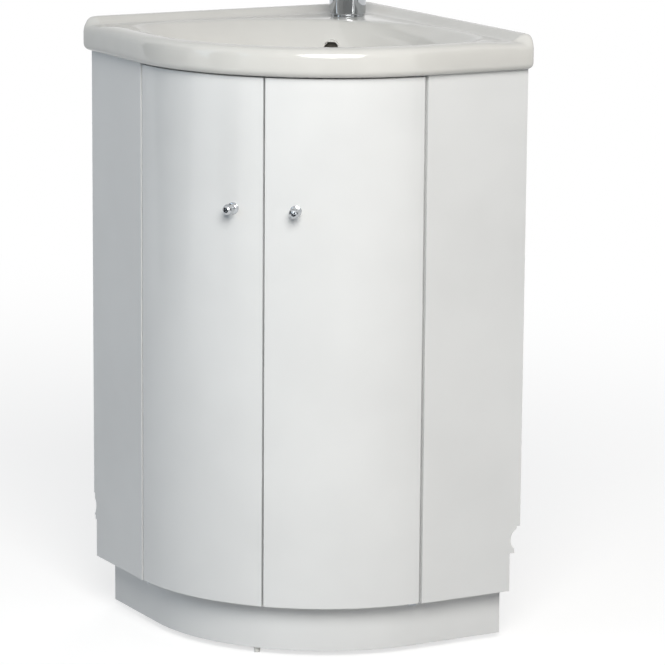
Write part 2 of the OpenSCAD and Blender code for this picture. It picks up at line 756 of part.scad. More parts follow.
// A round tube along a path in the upright plane of the diagonal
module diagonal_tube(path, d) {
    n = run_side;
    k = len(path);
    points = [for (i = [0 : k - 1], j = [0 : n - 1])
        let (t = path[min(i + 1, k - 1)] - path[max(i - 1, 0)], u = t / norm(t),
             b = j * 360 / n)
            [path[i][0] - u[1] * cos(b) * d / 2, sin(b) * d / 2,
             path[i][1] + u[0] * cos(b) * d / 2]];
    faces = concat([[for (j = [n - 1 : -1 : 0]) j]],
        [for (i = [0 : k - 2], j = [0 : n - 1])
            let (p = i * n + j, q = i * n + (j + 1) % n) each [[p, q, q + n], [p, q + n, p + n]]],
        [[for (j = [0 : n - 1]) (k - 1) * n + j]]);
    translate([-bowl_c, -bowl_c, 0]) rotate([0, 0, 45]) polyhedron(points, faces, convexity = 6);
}

module overflow_pocket(d, end)
    translate([-bowl_c, -bowl_c, rim_h - overflow_z]) rotate([0, 0, 45]) rotate([0, 90, 0])
        translate([0, 0, overflow_out - ceramic_t]) cylinder(d = d, h = end - overflow_out
                                                                       + ceramic_t);

module basin() {
    color("white") translate([0, 0, under_z]) difference() {
        union() {
            basin_shell();
            diagonal_tube(run_path, run_d + 2 * run_wall);
            overflow_pocket(overflow_d + 2 * pocket_wall, pocket_end + pocket_wall);
        }
        bowl_space();
        diagonal_tube(run_path, run_d);
        overflow_pocket(overflow_d, pocket_end);
        translate([-tap_c, -tap_c, 0]) cylinder(d = tap_hole_d, h = rim_h + 20);
        translate([-bowl_c, -bowl_c, bowl_z - ceramic_t - eps])
            cylinder(d = waste_hole_d, h = ceramic_t + 10);
        translate([-bowl_c, -bowl_c, bowl_z - 2 * ceramic_t])
            cylinder(d = waste_seat_d, h = ceramic_t);
    }
}

// The space inside the bowl, which the overflow channel must not fill
module bowl_space() {
    n = station_n;
    rings = concat([[for (a = stations) flat3(bowl_at + dir(a) * bowl_floor_r, bowl_z)]],
        [for (i = [len(bowl_wall_rings) - 1 : -1 : 0]) let (w = bowl_wall_rings[i])
            [for (a = stations) flat3(bowl_point(a, w[0]), rim_h - bowl_depth * w[1])]]);
    k = len(rings);
    points = [for (r = rings) each r];
    faces = concat([[for (j = [0 : n - 1]) j]],
        [for (i = [0 : k - 2], j = [0 : n - 1])
            let (p = i * n + j, q = i * n + (j + 1) % n) each [[p, q + n, q], [p, p + n, q + n]]],
        [[for (j = [n - 1 : -1 : 0]) (k - 1) * n + j]]);
    polyhedron(points, faces, convexity = 4);
}

// ---------------------------------------------------------------- tap
// Drawn on its own axis, standing on Z = 0, with the spout along +X

dome_z = tap_h + 2;
cap_cut = 11;
cap_t = 3.6;
cap_gap = 0.4;
spindle_z = dome_z - 30;
stem_d = 7;
lever_pin_d = 4;
stud_x = -8;
stud_d = 8;
stud_l = 62;
spout_z = 58;

module on_tap() translate([-tap_c, -tap_c, rim_z]) rotate([0, 0, 225]) children();

module tap_base_ring()
    color("silver") on_tap() difference() {
        cylinder(d = tap_d - 3, h = tap_ring_h);
        translate([0, 0, -eps]) cylinder(d = tap_hole_d - 3, h = tap_ring_h + 2 * eps);
    }

// An upright oval slice of the spout
module spout_slice(x, z, w, h)
    translate([x, 0, z]) rotate([0, 90, 0]) scale([h / w, 1, 1])
        cylinder(d = w, h = 1, $fn = 32);

module tap_body()
    color("silver") on_tap() difference() {
        union() {
            translate([0, 0, tap_ring_h]) cylinder(d1 = tap_d, d2 = tap_d + 2,
                                                   h = tap_h - tap_ring_h);
            translate([0, 0, tap_h]) cylinder(d1 = tap_d + 2, d2 = tap_d - 1, h = 2);
            translate([0, 0, dome_z]) intersection() {
                sphere(r = dome_r);
                translate([0, 0, -2]) cylinder(r = dome_r + 1, h = dome_r + 2);
            }
            hull() {
                spout_slice(8, spout_z, 36, 30);
                spout_slice(52, spout_z + 9, 35, 22);
            }
            hull() {
                spout_slice(52, spout_z + 9, 35, 22);
                spout_slice(spout_reach + 14, spout_z + 18, 30, 14);
            }
            translate([spout_reach, 0, spout_z + 8]) cylinder(d = aerator_d + 4, h = 10);
        }
        translate([0, 0, spindle_z]) cylinder(d = spindle_d + 2 * run_fit, h = 60);
        translate([0, 0, dome_z + 4]) cylinder(d1 = spindle_d, d2 = spindle_d + 6,
                                               h = dome_r - 3);
        translate([spout_reach, 0, spout_z + 3]) cylinder(d = aerator_d + 2 * run_fit, h = 12);
        translate([stud_x, 0, 0]) cylinder(d = stud_d, h = tap_ring_h + 12);
        for (y = [-1, 1]) translate([8, y * 9, 0]) cylinder(d = 10, h = tap_ring_h + 12);
    }

module tap_aerator()
    color("gray") on_tap() translate([spout_reach, 0, spout_z + 4]) difference() {
        cylinder(d = aerator_d, h = 11);
        translate([0, 0, -eps]) cylinder(d = aerator_d - 5, h = 4);
        for (r = [2.4, 5.2], i = [0 : (r < 3 ? 4 : 9)])
            rotate([0, 0, i * 360 / (r < 3 ? 5 : 10)]) translate([r, 0, -eps])
                cylinder(d = 1.6, h = 12, $fn = 16);
    }

module tap_spindle()
    color("dimgray") on_tap() difference() {
        translate([0, 0, spindle_z]) cylinder(d = spindle_d, h = dome_z + 6 - spindle_z);
        translate([-10, -stem_d / 2 - 0.3, dome_z - 14]) cube([24, stem_d + 0.6, 30]);
        translate([0, 0, dome_z]) rotate([90, 0, 0])
            cylinder(d = lever_pin_d, h = 40, center = true);
    }

module tap_lever_pin()
    color("gray") on_tap() translate([0, 0, dome_z]) rotate([90, 0, 0])
        cylinder(d = lever_pin_d, h = spindle_d - 2, center = true);

// Cap over the dome, stem on the pin and a blade over the spout
module tap_lever()
    color("silver") on_tap() translate([0, 0, dome_z]) difference() {
        union() {
            difference() {
                sphere(r = dome_r + cap_gap + cap_t);
                sphere(r = dome_r + cap_gap);
                translate([0, 0, cap_cut - 40]) cube(80, center = true);
            }
            hull() {
                translate([10, 0, dome_r]) rotate([0, 90, 0]) scale([0.4, 1, 1])
                    cylinder(d = 30, h = 1, $fn = 32);
                translate([lever_reach - 8, 0, dome_r + 14]) cylinder(d = 16, h = 5, $fn = 32);
            }
            cylinder(d = stem_d, h = dome_r + 2);
            rotate([90, 0, 0]) cylinder(d = 9, h = stem_d - 0.4, center = true);
        }
        sphere_cut();
        rotate([90, 0, 0]) cylinder(d = lever_pin_d + 2 * run_fit, h = 30, center = true);
    }

// Keeps the blade's root out of the dome, but leaves the stem
module sphere_cut()
    difference() {
        sphere(r = dome_r + cap_gap);
        translate([0, 0, -10]) cylinder(d = stem_d + 2, h = dome_r + 20);
    }

module tap_stud()
    color("gray") on_tap() translate([stud_x, 0, tap_ring_h + 12 - stud_l])
        cylinder(d = stud_d, h = stud_l);

clamp_z = roof_z - rim_h;

module tap_clamp_washer()
    color("dimgray") on_tap() translate([0, 0, clamp_z - 3]) difference() {
        cylinder(d = tap_hole_d + 16, h = 3);
        translate([4, -13, -eps]) cube([tap_hole_d, 26, 4]);
        translate([stud_x, 0, -eps]) cylinder(d = stud_d + 2 * run_fit, h = 4);
    }

module tap_clamp_nut()
    color("gray") on_tap() translate([stud_x, 0, clamp_z - 3 - 8]) difference() {
        cylinder(d = 15, h = 8, $fn = 6);
        translate([0, 0, -eps]) cylinder(d = stud_d, h = 9);
    }

// ---------------------------------------------------------------- waste and trap
// Drawn on the waste's axis from the bowl's floor

floor_z = under_z + bowl_z;
flange_t = 3;
seal_t = 3;
back_nut_h = 10;
back_nut_d = waste_d + 21;
waste_bore = 34;
boss_d = 14;
plug_stem_d = 8;
plug_lift = 9;
trap_z1 = floor_z - waste_l;
trap_z0 = trap_z1 - trap_h;
outlet_z = trap_z1 - 34;
outlet_stub = 52;
stub_d = pipe_d + 7;
pipe_grip = 14;
pipe_t = 2;
outlet_nut_h = 22;

module on_waste(z) translate([-bowl_c, -bowl_c, z]) children();

module waste_body()
    color("silver") on_waste(floor_z) difference() {
        union() {
            translate([0, 0, -waste_l]) cylinder(d = waste_d, h = waste_l);
            cylinder(d1 = waste_flange_d, d2 = waste_flange_d - 4, h = flange_t);
        }
        translate([0, 0, -waste_l - eps]) cylinder(d = waste_bore, h = waste_l - 22 + eps);
        difference() {
            translate([0, 0, -25]) cylinder(d = waste_bore, h = 40);
            translate([0, 0, -30]) cylinder(d = boss_d, h = 26);
            for (a = [0, 60, 120]) rotate([0, 0, a])
                translate([-20, -1.5, -22]) cube([40, 3, 8]);
        }
        translate([0, 0, -30]) cylinder(d = plug_stem_d + 2 * run_fit, h = 40);
        for (a = [45, 225]) rotate([0, 0, a])
            translate([10, -6, -ceramic_t - 1]) cube([20, 12, 9]);
    }

module waste_plug()
    color("silver") on_waste(floor_z + flange_t) {
        cylinder(d1 = waste_flange_d - 6, d2 = waste_flange_d - 12, h = 3);
        translate([0, 0, -flange_t - 26]) cylinder(d = plug_stem_d, h = flange_t + 27);
    }

module washer(z, h, d, hole)
    on_waste(z) difference() {
        cylinder(d = d, h = h);
        translate([0, 0, -eps]) cylinder(d = hole, h = h + 2 * eps);
    }

module waste_seal()
    color("dimgray") washer(floor_z - ceramic_t - seal_t, seal_t, waste_hole_d + 14,
                            waste_d + 2 * run_fit);

module waste_back_nut()
    color("white") on_waste(floor_z - ceramic_t - seal_t - back_nut_h) difference() {
        cylinder(d = back_nut_d, h = back_nut_h, $fn = 8);
        translate([0, 0, -eps]) cylinder(d = waste_d + 2 * run_fit, h = back_nut_h + 2 * eps);
    }

module trap_cap_nut()
    color("white") on_waste(trap_z1 - 10) difference() {
        union() {
            cylinder(d = trap_d + 8, h = 24);
            for (a = [0 : 15 : 345]) rotate([0, 0, a])
                translate([trap_d / 2 + 4, -1.5, 2]) cube([1.5, 3, 20]);
        }
        translate([0, 0, -eps]) cylinder(d = trap_d + 2 * run_fit, h = 10 + eps);
        translate([0, 0, 5]) cylinder(d = waste_d + 2 * run_fit, h = 30);
    }

// The tube that carries the water below the seal level of the bottle
module trap_dip_tube()
    color("white") on_waste(trap_z0 + 28) difference() {
        union() {
            cylinder(d = waste_bore - 1, h = trap_z1 - trap_z0 - 28);
            translate([0, 0, trap_z1 - trap_z0 - 31])
                cylinder(d = trap_d - 2 * trap_t - 2 * run_fit, h = 3);
        }
        translate([0, 0, -eps]) cylinder(d = waste_bore - 5, h = trap_h + 20);
    }

module trap_bottle()
    color("white") on_waste(trap_z0) difference() {
        union() {
            cylinder(d1 = trap_d - 8, d2 = trap_d, h = 8);
            translate([0, 0, 8]) cylinder(d = trap_d, h = trap_h - 8);
            translate([0, 0, outlet_z - trap_z0]) rotate([-90, 0, 0])
                cylinder(d = stub_d, h = outlet_stub);
        }
        translate([0, 0, trap_t]) cylinder(d1 = trap_d - 8 - 2 * trap_t,
                                           d2 = trap_d - 2 * trap_t, h = 8 - trap_t + 0.01);
        translate([0, 0, 8]) cylinder(d = trap_d - 2 * trap_t, h = trap_h);
        translate([0, 0, outlet_z - trap_z0]) rotate([-90, 0, 0])
            cylinder(d = pipe_d + 2 * run_fit, h = outlet_stub + 10);
    }

module trap_outlet_nut()
    color("white") on_waste(outlet_z) rotate([-90, 0, 0])
        translate([0, 0, outlet_stub - pipe_grip]) difference() {
            cylinder(d = pipe_d + 20, h = outlet_nut_h, $fn = 8);
            translate([0, 0, -eps]) cylinder(d = stub_d + 2 * run_fit, h = pipe_grip + eps);
            cylinder(d = pipe_d + 2 * run_fit, h = outlet_nut_h + eps);
        }

// Pipe to the wall, with a moulded stop collar just outside the nut
module outlet_pipe()
    color("white") on_waste(outlet_z) rotate([-90, 0, 0])
        translate([0, 0, outlet_stub - pipe_grip]) difference() {
            union() {
                cylinder(d = pipe_d, h = bowl_c - outlet_stub + pipe_grip);
                translate([0, 0, outlet_nut_h + 1]) cylinder(d = pipe_d + 4, h = 3);
            }
            translate([0, 0, -eps]) cylinder(d = pipe_d - 2 * pipe_t, h = bowl_c);
        }

// ---------------------------------------------------------------- the unit

in_corner() basin();
in_corner() left_side_panel();
in_corner() right_side_panel();
in_corner() left_stile();
in_corner() right_stile();
in_corner() base_panel();
in_corner() front_rail();
in_corner() corner_post();
in_corner() upper_back_rails();
in_corner() lower_back_rails();
in_corner() carcass_dowels();
in_corner() shelf();
in_corner() shelf_pins();
in_corner() plinth();
in_corner() plinth_blocks();
in_corner() plinth_glide();
in_corner() leg_sockets();
in_corner() leg_feet();
in_corner() pivot_plates();
in_corner() pivot_pins();
in_corner() pivot_plate_screws();
in_corner() catch_magnets();
in_corner() tap_base_ring();
in_corner() tap_body();
in_corner() tap_aerator();
in_corner() tap_stud();
in_corner() tap_clamp_washer();
in_corner() tap_clamp_nut();
in_corner() waste_body();
in_corner() waste_seal();
in_corner() waste_back_nut();
in_corner() trap_cap_nut();
in_corner() trap_dip_tube();
in_corner() trap_bottle();
in_corner() trap_outlet_nut();
in_corner() outlet_pipe();
in_corner() left_door();
in_corner() left_knob();
in_corner() left_knob_screw();
in_corner() left_pivot_bushes();
in_corner() left_strike_plate();
in_corner() left_buffers();
in_corner() right_door();
in_corner() right_knob();
in_corner() right_knob_screw();
in_corner() right_pivot_bushes();
in_corner() right_strike_plate();
in_corner() right_buffers();
in_corner() tap_spindle();
in_corner() tap_lever();
in_corner() tap_lever_pin();
in_corner() waste_plug();
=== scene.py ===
# %% [markdown]
# # A corner vanity unit
# The cabinet is a quarter round with two curved doors, a glazed corner basin on top
# and a mixer tap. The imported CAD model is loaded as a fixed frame, and this script
# dresses it: cast and turned pieces are worked out again as fine surfaces, boards
# keep their CAD mesh and get softened edges, and every piece gets a material that is
# built from what the real one is made of.

import json
import math

import bmesh
import bpy
import numpy as np
from mathutils import Matrix, Vector


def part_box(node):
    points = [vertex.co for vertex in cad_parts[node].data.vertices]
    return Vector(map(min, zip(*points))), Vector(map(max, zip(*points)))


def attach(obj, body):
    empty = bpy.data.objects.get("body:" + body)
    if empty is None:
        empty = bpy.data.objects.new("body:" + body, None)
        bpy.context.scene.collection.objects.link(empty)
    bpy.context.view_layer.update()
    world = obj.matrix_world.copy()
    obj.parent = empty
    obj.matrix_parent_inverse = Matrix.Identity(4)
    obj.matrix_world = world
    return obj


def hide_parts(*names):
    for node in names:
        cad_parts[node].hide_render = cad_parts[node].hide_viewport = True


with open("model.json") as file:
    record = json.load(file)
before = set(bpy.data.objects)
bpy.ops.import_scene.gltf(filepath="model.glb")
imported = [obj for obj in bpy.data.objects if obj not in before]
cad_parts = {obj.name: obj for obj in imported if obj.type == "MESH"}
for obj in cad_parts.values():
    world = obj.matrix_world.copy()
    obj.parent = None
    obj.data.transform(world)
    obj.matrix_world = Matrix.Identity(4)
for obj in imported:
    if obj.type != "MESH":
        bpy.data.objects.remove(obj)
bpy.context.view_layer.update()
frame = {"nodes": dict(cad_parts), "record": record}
body_at = {n: b for b, nodes in frame["record"]["behaviour"]["bodies"].items() for n in nodes}
slot_of = {p["node"]: p["material_slot"] for p in frame["record"]["subparts"]}
print("pieces in the frame:", len(slot_of))

# %% [markdown]
# The unit is drawn from the room corner, because both walls, the basin and the doors
# are measured from there. Points are given in millimetres from that corner, and one
# function turns them into the frame's metres. The main sizes come from the frame's own
# boxes. The others, such as the height of the rim, repeat those of the part's source.

# %% Lengths from the frame
MM = 0.001
low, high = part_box("basin")
basin_w = (high.x - low.x) / MM
corner = np.array([high.x, high.y, 0]) / MM
panel_low, panel_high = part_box("left_side_panel")
under_z = panel_high.z / MM
rim_h = 36.0
rim_z = under_z + rim_h
side_depth = 160.0
rim_r = basin_w - side_depth
print("basin width", round(basin_w, 1), "underside of the basin", round(under_z, 1))


def metres(points):
    """Points in millimetres from the room corner, as metres in the frame."""
    return (np.asarray(points, float) + corner) * MM


# %% [markdown]
# Colours are written as the hex values that a colour picker would show. Blender
# computes in linear light, so one function takes the screen's curve out of them. A
# second small function adds any shader node with its settings and links.

# %% Colour and node helpers
def linear(hex_colour):
    """Linear RGBA of an sRGB hex value: divide by 12.92 below 0.04045, and above it
    take ((c + 0.055) / 1.055) to the power 2.4."""
    c = np.array([int(hex_colour[i:i + 2], 16) for i in (1, 3, 5)]) / 255
    c = np.where(c <= 0.04045, c / 12.92, ((c + 0.055) / 1.055) ** 2.4)
    return (*c.tolist(), 1.0)


def add(tree, kind, inputs=None, **settings):
    """A new shader node. A value in inputs is linked if it is a socket, else set."""
    made = tree.nodes.new(kind)
    for key, value in settings.items():
        setattr(made, key, value)
    for key, value in (inputs or {}).items():
        if isinstance(value, bpy.types.NodeSocket):
            tree.links.new(value, made.inputs[key])
        else:
            made.inputs[key].default_value = value
    return made


def surface_material(name, **inputs):
    """An empty material with one Principled shader: returns material, tree, shader."""
    mat = bpy.data.materials.new(name)
    mat.use_nodes = True
    shader = mat.node_tree.nodes["Principled BSDF"]
    for key, value in inputs.items():
        shader.inputs[key.replace("_", " ")].default_value = value
    return mat, mat.node_tree, shader


def per_mm(size):
    """Noise scale whose features are about this many millimetres across."""
    return 1 / (size * MM)


def mottled(tree, at, size, first, second, low=0.35, high=0.65, detail=2.0):
    """Two colours or values blended by noise of a size in millimetres."""
    noise = add(tree, "ShaderNodeTexNoise", {"Vector": at, "Scale": per_mm(size),
                                             "Detail": detail})
    ramp = add(tree, "ShaderNodeValToRGB", {"Fac": noise.outputs["Fac"]})
    ends = ramp.color_ramp.elements
    ends[0].position, ends[1].position = low, high
    ends[0].color, ends[1].color = first, second
    return ramp.outputs["Color"]


def fine_relief(tree, shader, at, size, depth, strength=0.4, detail=2.0):
    """A bumpy surface: noise whose hollows have a width and a depth in millimetres."""
    noise = add(tree, "ShaderNodeTexNoise", {"Vector": at, "Scale": per_mm(size),
                                             "Detail": detail})
    bump = add(tree, "ShaderNodeBump", {"Height": noise.outputs["Fac"],
                                        "Distance": depth * MM, "Strength": strength})
    tree.links.new(bump.outputs["Normal"], shader.inputs["Normal"])


def grey(value):
    """A value, such as a roughness, as the four numbers that a colour ramp takes."""
    return (value, value, value, 1.0)


# %% [markdown]
# ## The white finishes
# Four whites make up most of this unit. The basin is vitreous china under a poured
# glaze: very smooth, with a long soft waviness where the glaze flowed. The doors, side
# panels and plinth are lacquered fibreboard: almost as glossy, with the fine dimpling
# that sprayers call orange peel. The carcass inside is melamine-faced chipboard, dull
# and slightly pearled, and its sawn edges at the walls are left raw. The pipes are
# polypropylene, waxy and a little translucent. Each drifts a little in tone, by noise
# of a size in millimetres, because a white with nothing on it reads as plain plastic.

# %% Glazed vitreous china
def glazed_china():
    """Poured glaze: mirror-like, wavy over about 40 mm, its tone drifting slowly."""
    mat, tree, shader = surface_material("glazed_vitreous_china", Roughness=0.07, IOR=1.52)
    at = add(tree, "ShaderNodeTexCoord").outputs["Object"]
    tint = mottled(tree, at, 60, linear("#D9D8D4"), linear("#DDDCD8"))
    tree.links.new(tint, shader.inputs["Base Color"])
    fine_relief(tree, shader, at, 38, 0.35, 0.5, 1.0)
    return mat


# %% [markdown]
# Glaze can't reach into the overflow, so the clay stays bare there. Its colour is made
# far darker than the clay's own, as painted shade inside the pocket. A second material
# on the same piece shows it, which keeps the casting one mesh.

# %% Bare china, darkened as painted shade
def dark_clay_painted_shade():
    """Fired clay without glaze, dull and sandy, with a grain drawn at 1.5 mm, coarser than
    the real one, so that it shows. Its dark colour, mottled in 6 mm clouds, is painted
    shade inside the overflow pocket."""
    mat, tree, shader = surface_material("dark_clay_painted_shade_in_the_overflow", Roughness=0.85)
    at = add(tree, "ShaderNodeTexCoord").outputs["Object"]
    # These dark colours are painted shade for the hollow of the overflow.
    tree.links.new(mottled(tree, at, 6, linear("#47443F"), linear("#55524B")),
                   shader.inputs["Base Color"])
    fine_relief(tree, shader, at, 1.5, 0.15)
    return mat


overflow_painted_shade = dark_clay_painted_shade()
print("bare china:", overflow_painted_shade.name)


# %% [markdown]
# The boards' rear edges are never lacquered or taped. The shader finds them by itself,
# as the faces that look along +X or +Y from beyond the board's own rear limit, so the
# CAD mesh needs no second material.

# %% Edges that the saw left raw
def sawn_edges(tree, at, limit, square=0.97):
    """1 on faces that look along +X or +Y (part of the normal on that axis above
    square) from beyond the limit, in metres along that axis, and 0 elsewhere."""
    normal = add(tree, "ShaderNodeSeparateXYZ", {
        "Vector": add(tree, "ShaderNodeNewGeometry").outputs["True Normal"]})
    place = add(tree, "ShaderNodeSeparateXYZ", {"Vector": at})
    sides = []
    for axis in "XY":
        looks = add(tree, "ShaderNodeMath", {0: normal.outputs[axis], 1: square},
                    operation="GREATER_THAN")
        beyond = add(tree, "ShaderNodeMath", {0: place.outputs[axis], 1: limit},
                     operation="GREATER_THAN")
        sides.append(add(tree, "ShaderNodeMath", {0: looks.outputs[0], 1: beyond.outputs[0]},
                         operation="MULTIPLY").outputs[0])
    return add(tree, "ShaderNodeMath", {0: sides[0], 1: sides[1]},
               operation="MAXIMUM").outputs[0]


def with_raw_edges(tree, at, face, raw, limit):
    """The face colour, with the raw colour on the sawn edges beyond the limit."""
    mixed = add(tree, "ShaderNodeMix", {0: sawn_edges(tree, at, limit), 6: face, 7: raw},
                data_type="RGBA")
    return mixed.outputs[2]


def raw_fibreboard(tree, at):
    """Cut fibreboard: an even felt of wood fibres, drawn as mottling of 1 mm, which is
    coarser than the real felt, so that it shows."""
    return mottled(tree, at, 1.0, linear("#96795A"), linear("#B39772"))


# %% Sprayed gloss lacquer
def gloss_lacquer(name, raw_limit=None):
    """Sprayed and cured lacquer on fibreboard: clear gloss with 3 mm orange peel, and
    wiping marks that change the gloss in broad patches. With a limit, the edges at
    the walls are the bare fibreboard."""
    mat, tree, shader = surface_material(name, IOR=1.5)
    at = add(tree, "ShaderNodeTexCoord").outputs["Object"]
    tint = mottled(tree, at, 140, linear("#E6E7E7"), linear("#EAEBEB"))
    if raw_limit is not None:
        tint = with_raw_edges(tree, at, tint, raw_fibreboard(tree, at), raw_limit)
    tree.links.new(tint, shader.inputs["Base Color"])
    wiped = mottled(tree, at, 70, grey(0.13), grey(0.20), detail=4.0)
    tree.links.new(wiped, shader.inputs["Roughness"])
    fine_relief(tree, shader, at, 3, 0.02, 0.35, 1.0)
    return mat


# %% Melamine-faced chipboard
def chipboard_chips(tree, at):
    """Sawn chipboard: pressed chips 4.5 mm long and 2 mm thick, drawn as cells whose
    random colour runs from pale to dark wood."""
    stretched = add(tree, "ShaderNodeMapping", {"Vector": at, "Scale": (1.0, 1.0, 2.2)})
    chips = add(tree, "ShaderNodeTexVoronoi", {"Vector": stretched.outputs["Vector"],
                                               "Scale": per_mm(4.5), "Randomness": 1.0})
    value = add(tree, "ShaderNodeSeparateColor", {"Color": chips.outputs["Color"]})
    ramp = add(tree, "ShaderNodeValToRGB", {"Fac": value.outputs["Red"]})
    ends = ramp.color_ramp.elements
    ends[0].color, ends[1].color = linear("#8E6F4A"), linear("#D3B88E")
    return ramp.outputs["Color"]


def melamine_board(name, raw_limit=None):
    """Pressed melamine paper: dull white with a fine pearl of under a millimetre, drawn
    at 1.5 mm so that it shows. With a limit, the edges at the walls show the chips."""
    mat, tree, shader = surface_material(name, Roughness=0.42, IOR=1.5)
    at = add(tree, "ShaderNodeTexCoord").outputs["Object"]
    face = mottled(tree, at, 90, linear("#E2E2DF"), linear("#E7E7E4"))
    if raw_limit is not None:
        face = with_raw_edges(tree, at, face, chipboard_chips(tree, at), raw_limit)
    tree.links.new(face, shader.inputs["Base Color"])
    fine_relief(tree, shader, at, 1.5, 0.05)
    return mat


# %% Beech
def planed_beech():
    """Planed beech: pinkish tan with long growth lines 4 mm apart and the short dark
    flecks of its rays."""
    mat, tree, shader = surface_material("planed_beech", Roughness=0.5)
    at = add(tree, "ShaderNodeTexCoord").outputs["Object"]
    along = add(tree, "ShaderNodeMapping", {"Vector": at, "Scale": (1.0, 1.0, 0.12)})
    grain = mottled(tree, along.outputs["Vector"], 4, linear("#B98F63"), linear("#D2AC7E"))
    fleck = mottled(tree, along.outputs["Vector"], 1.2, grey(0.62), grey(1.0), 0.28, 0.36)
    both = add(tree, "ShaderNodeMix", {0: 1.0, 6: grain, 7: fleck}, data_type="RGBA",
               blend_type="MULTIPLY")
    tree.links.new(both.outputs[2], shader.inputs["Base Color"])
    return mat


# %% [markdown]
# ## Metals, plastics and rubber
# Plated chrome is a mirror that is only told apart by what it reflects, so its colour
# is a neutral light grey and its gloss changes a little where fingers and lime spots
# have been. Zinc-plated steel is duller and cloudy. Moulded plastics carry the fine
# spark-eroded grain of their moulds.

# %% Metals
def plated_chrome():
    """Bright chrome plate: metallic, near-mirror, with faint water marks 12 mm wide."""
    mat, tree, shader = surface_material("bright_chrome_plate", Metallic=1.0)
    shader.inputs["Base Color"].default_value = linear("#B9BCBF")
    at = add(tree, "ShaderNodeTexCoord").outputs["Object"]
    marks = mottled(tree, at, 12, grey(0.04), grey(0.11), detail=4.0)
    tree.links.new(marks, shader.inputs["Roughness"])
    return mat


def zinc_plate():
    """Blue-white zinc plate on pressed steel: cloudy, half-dull, 5 mm clouds."""
    mat, tree, shader = surface_material("zinc_plated_steel", Metallic=1.0)
    at = add(tree, "ShaderNodeTexCoord").outputs["Object"]
    tree.links.new(mottled(tree, at, 5, linear("#8F949A"), linear("#AFB3B8")),
                   shader.inputs["Base Color"])
    tree.links.new(mottled(tree, at, 3, grey(0.32), grey(0.48)), shader.inputs["Roughness"])
    return mat


def turned_brass():
    """Bar brass off the lathe: yellow, with tool rings 0.8 mm apart along Z. A wave
    texture of scale s repeats every 0.314 / s."""
    mat, tree, shader = surface_material("turned_brass", Metallic=1.0, Roughness=0.24)
    at = add(tree, "ShaderNodeTexCoord").outputs["Object"]
    tree.links.new(mottled(tree, at, 8, linear("#C3A05A"), linear("#D6B670")),
                   shader.inputs["Base Color"])
    rings = add(tree, "ShaderNodeTexWave", {"Vector": at, "Scale": per_mm(2.5)},
                bands_direction="Z")
    bump = add(tree, "ShaderNodeBump", {"Height": rings.outputs["Fac"],
                                        "Distance": 0.02 * MM, "Strength": 0.4})
    tree.links.new(bump.outputs["Normal"], shader.inputs["Normal"])
    return mat


# %% Plastics and rubber
def moulded(name, dark, light, rough, grain=0.8, depth=0.03, **more):
    """A moulded polymer: two close tones, an even gloss and the mould's grain, drawn at
    0.8 mm or more, coarser than the real one, so that it shows."""
    mat, tree, shader = surface_material(name, Roughness=rough, **more)
    at = add(tree, "ShaderNodeTexCoord").outputs["Object"]
    tree.links.new(mottled(tree, at, 25, linear(dark), linear(light)),
                   shader.inputs["Base Color"])
    fine_relief(tree, shader, at, grain, depth)
    return mat


# %% [markdown]
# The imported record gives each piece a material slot, and each slot gets one finish. The
# boards with raw rear edges get their own, because their limits differ.

# %% One material for each slot of the record
finishes = {
    "glazed_ceramic": glazed_china(),
    "gloss_board": gloss_lacquer("gloss_lacquered_fibreboard"),
    "carcass_board": melamine_board("melamine_faced_chipboard"),
    "beech": planed_beech(),
    "white_plastic": moulded("moulded_white_abs", "#E6E6E2", "#EBEBE8", 0.35),
    "nylon": moulded("natural_nylon", "#DAD5C6", "#E2DDCF", 0.45, Subsurface_Weight=0.15),
    "clear_buffer": moulded("clear_soft_polymer", "#D5DCDF", "#E0E6E8", 0.3, 2.0, 0.02,
                            Transmission_Weight=0.5),
    "black_plastic": moulded("moulded_black_polypropylene", "#161617", "#1E1E20", 0.5, 1.0,
                             0.08),
    "zinc_steel": zinc_plate(),
    "chrome": plated_chrome(),
    "aerator_plastic": moulded("grey_acetal", "#7D8185", "#8A8E92", 0.4),
    "brass": turned_brass(),
    "rubber": moulded("black_nitrile_rubber", "#1A1A1A", "#232322", 0.75, 1.5, 0.1),
    "pipe_plastic": moulded("white_polypropylene", "#E9E9E5", "#EEEEEA", 0.3, 3.0, 0.03,
                            Subsurface_Weight=0.1),
}
print("finishes:", len(finishes))


# %% Boards whose rear edges were left as the saw cut them
def rear_edge(node, skin=0.001):
    """Just inside the edge of a board that comes nearest to a wall, in metres."""
    return max(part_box(node)[1].xy) - skin


finish_of = {node: finishes[slot] for node, slot in slot_of.items()}
for node in ("left_side_panel", "right_side_panel"):
    finish_of[node] = gloss_lacquer("lacquered_fibreboard_" + node, rear_edge(node))
for node in ("base_panel", "shelf"):
    finish_of[node] = melamine_board("melamine_chipboard_" + node, rear_edge(node))
print("materials:", len(bpy.data.materials))

# %% [markdown]
# ## Mesh helpers
# Every new piece is a grid of points: rings along one direction, stations round the
# other. Closing the grid both ways gives a ring-shaped solid, such as the basin round
# its waste hole, and gathering the end rings into poles gives a solid like a knob.

# %% Grids into meshes
def grid_faces(rings, stations, closed_rings):
    """Quads between neighbouring rings and stations, closed round the stations."""
    index = np.arange(rings * stations).reshape(rings, stations)
    if closed_rings:
        index = np.vstack([index, index[:1]])
    a, b = index[:-1], index[1:]
    return np.stack([a, np.roll(a, -1, 1), np.roll(b, -1, 1), b], -1).reshape(-1, 4)


def solid(points, closed_rings=False):
    """A closed mesh (vertices, faces) from points[ring, station]. Rings either close
    on each other, or the first and last are capped by one face each."""
    rings, stations = points.shape[:2]
    faces = grid_faces(rings, stations, closed_rings).tolist()
    if not closed_rings:
        faces += [list(range(stations))[::-1],
                  list(range((rings - 1) * stations, rings * stations))]
    return points.reshape(-1, 3), faces


def placed(name, data, place=(0, 0, 0)):
    """A new object of the scene that holds the data, at a place in metres."""
    made = bpy.data.objects.new(name, data)
    made.location = place
    bpy.context.scene.collection.objects.link(made)
    return made


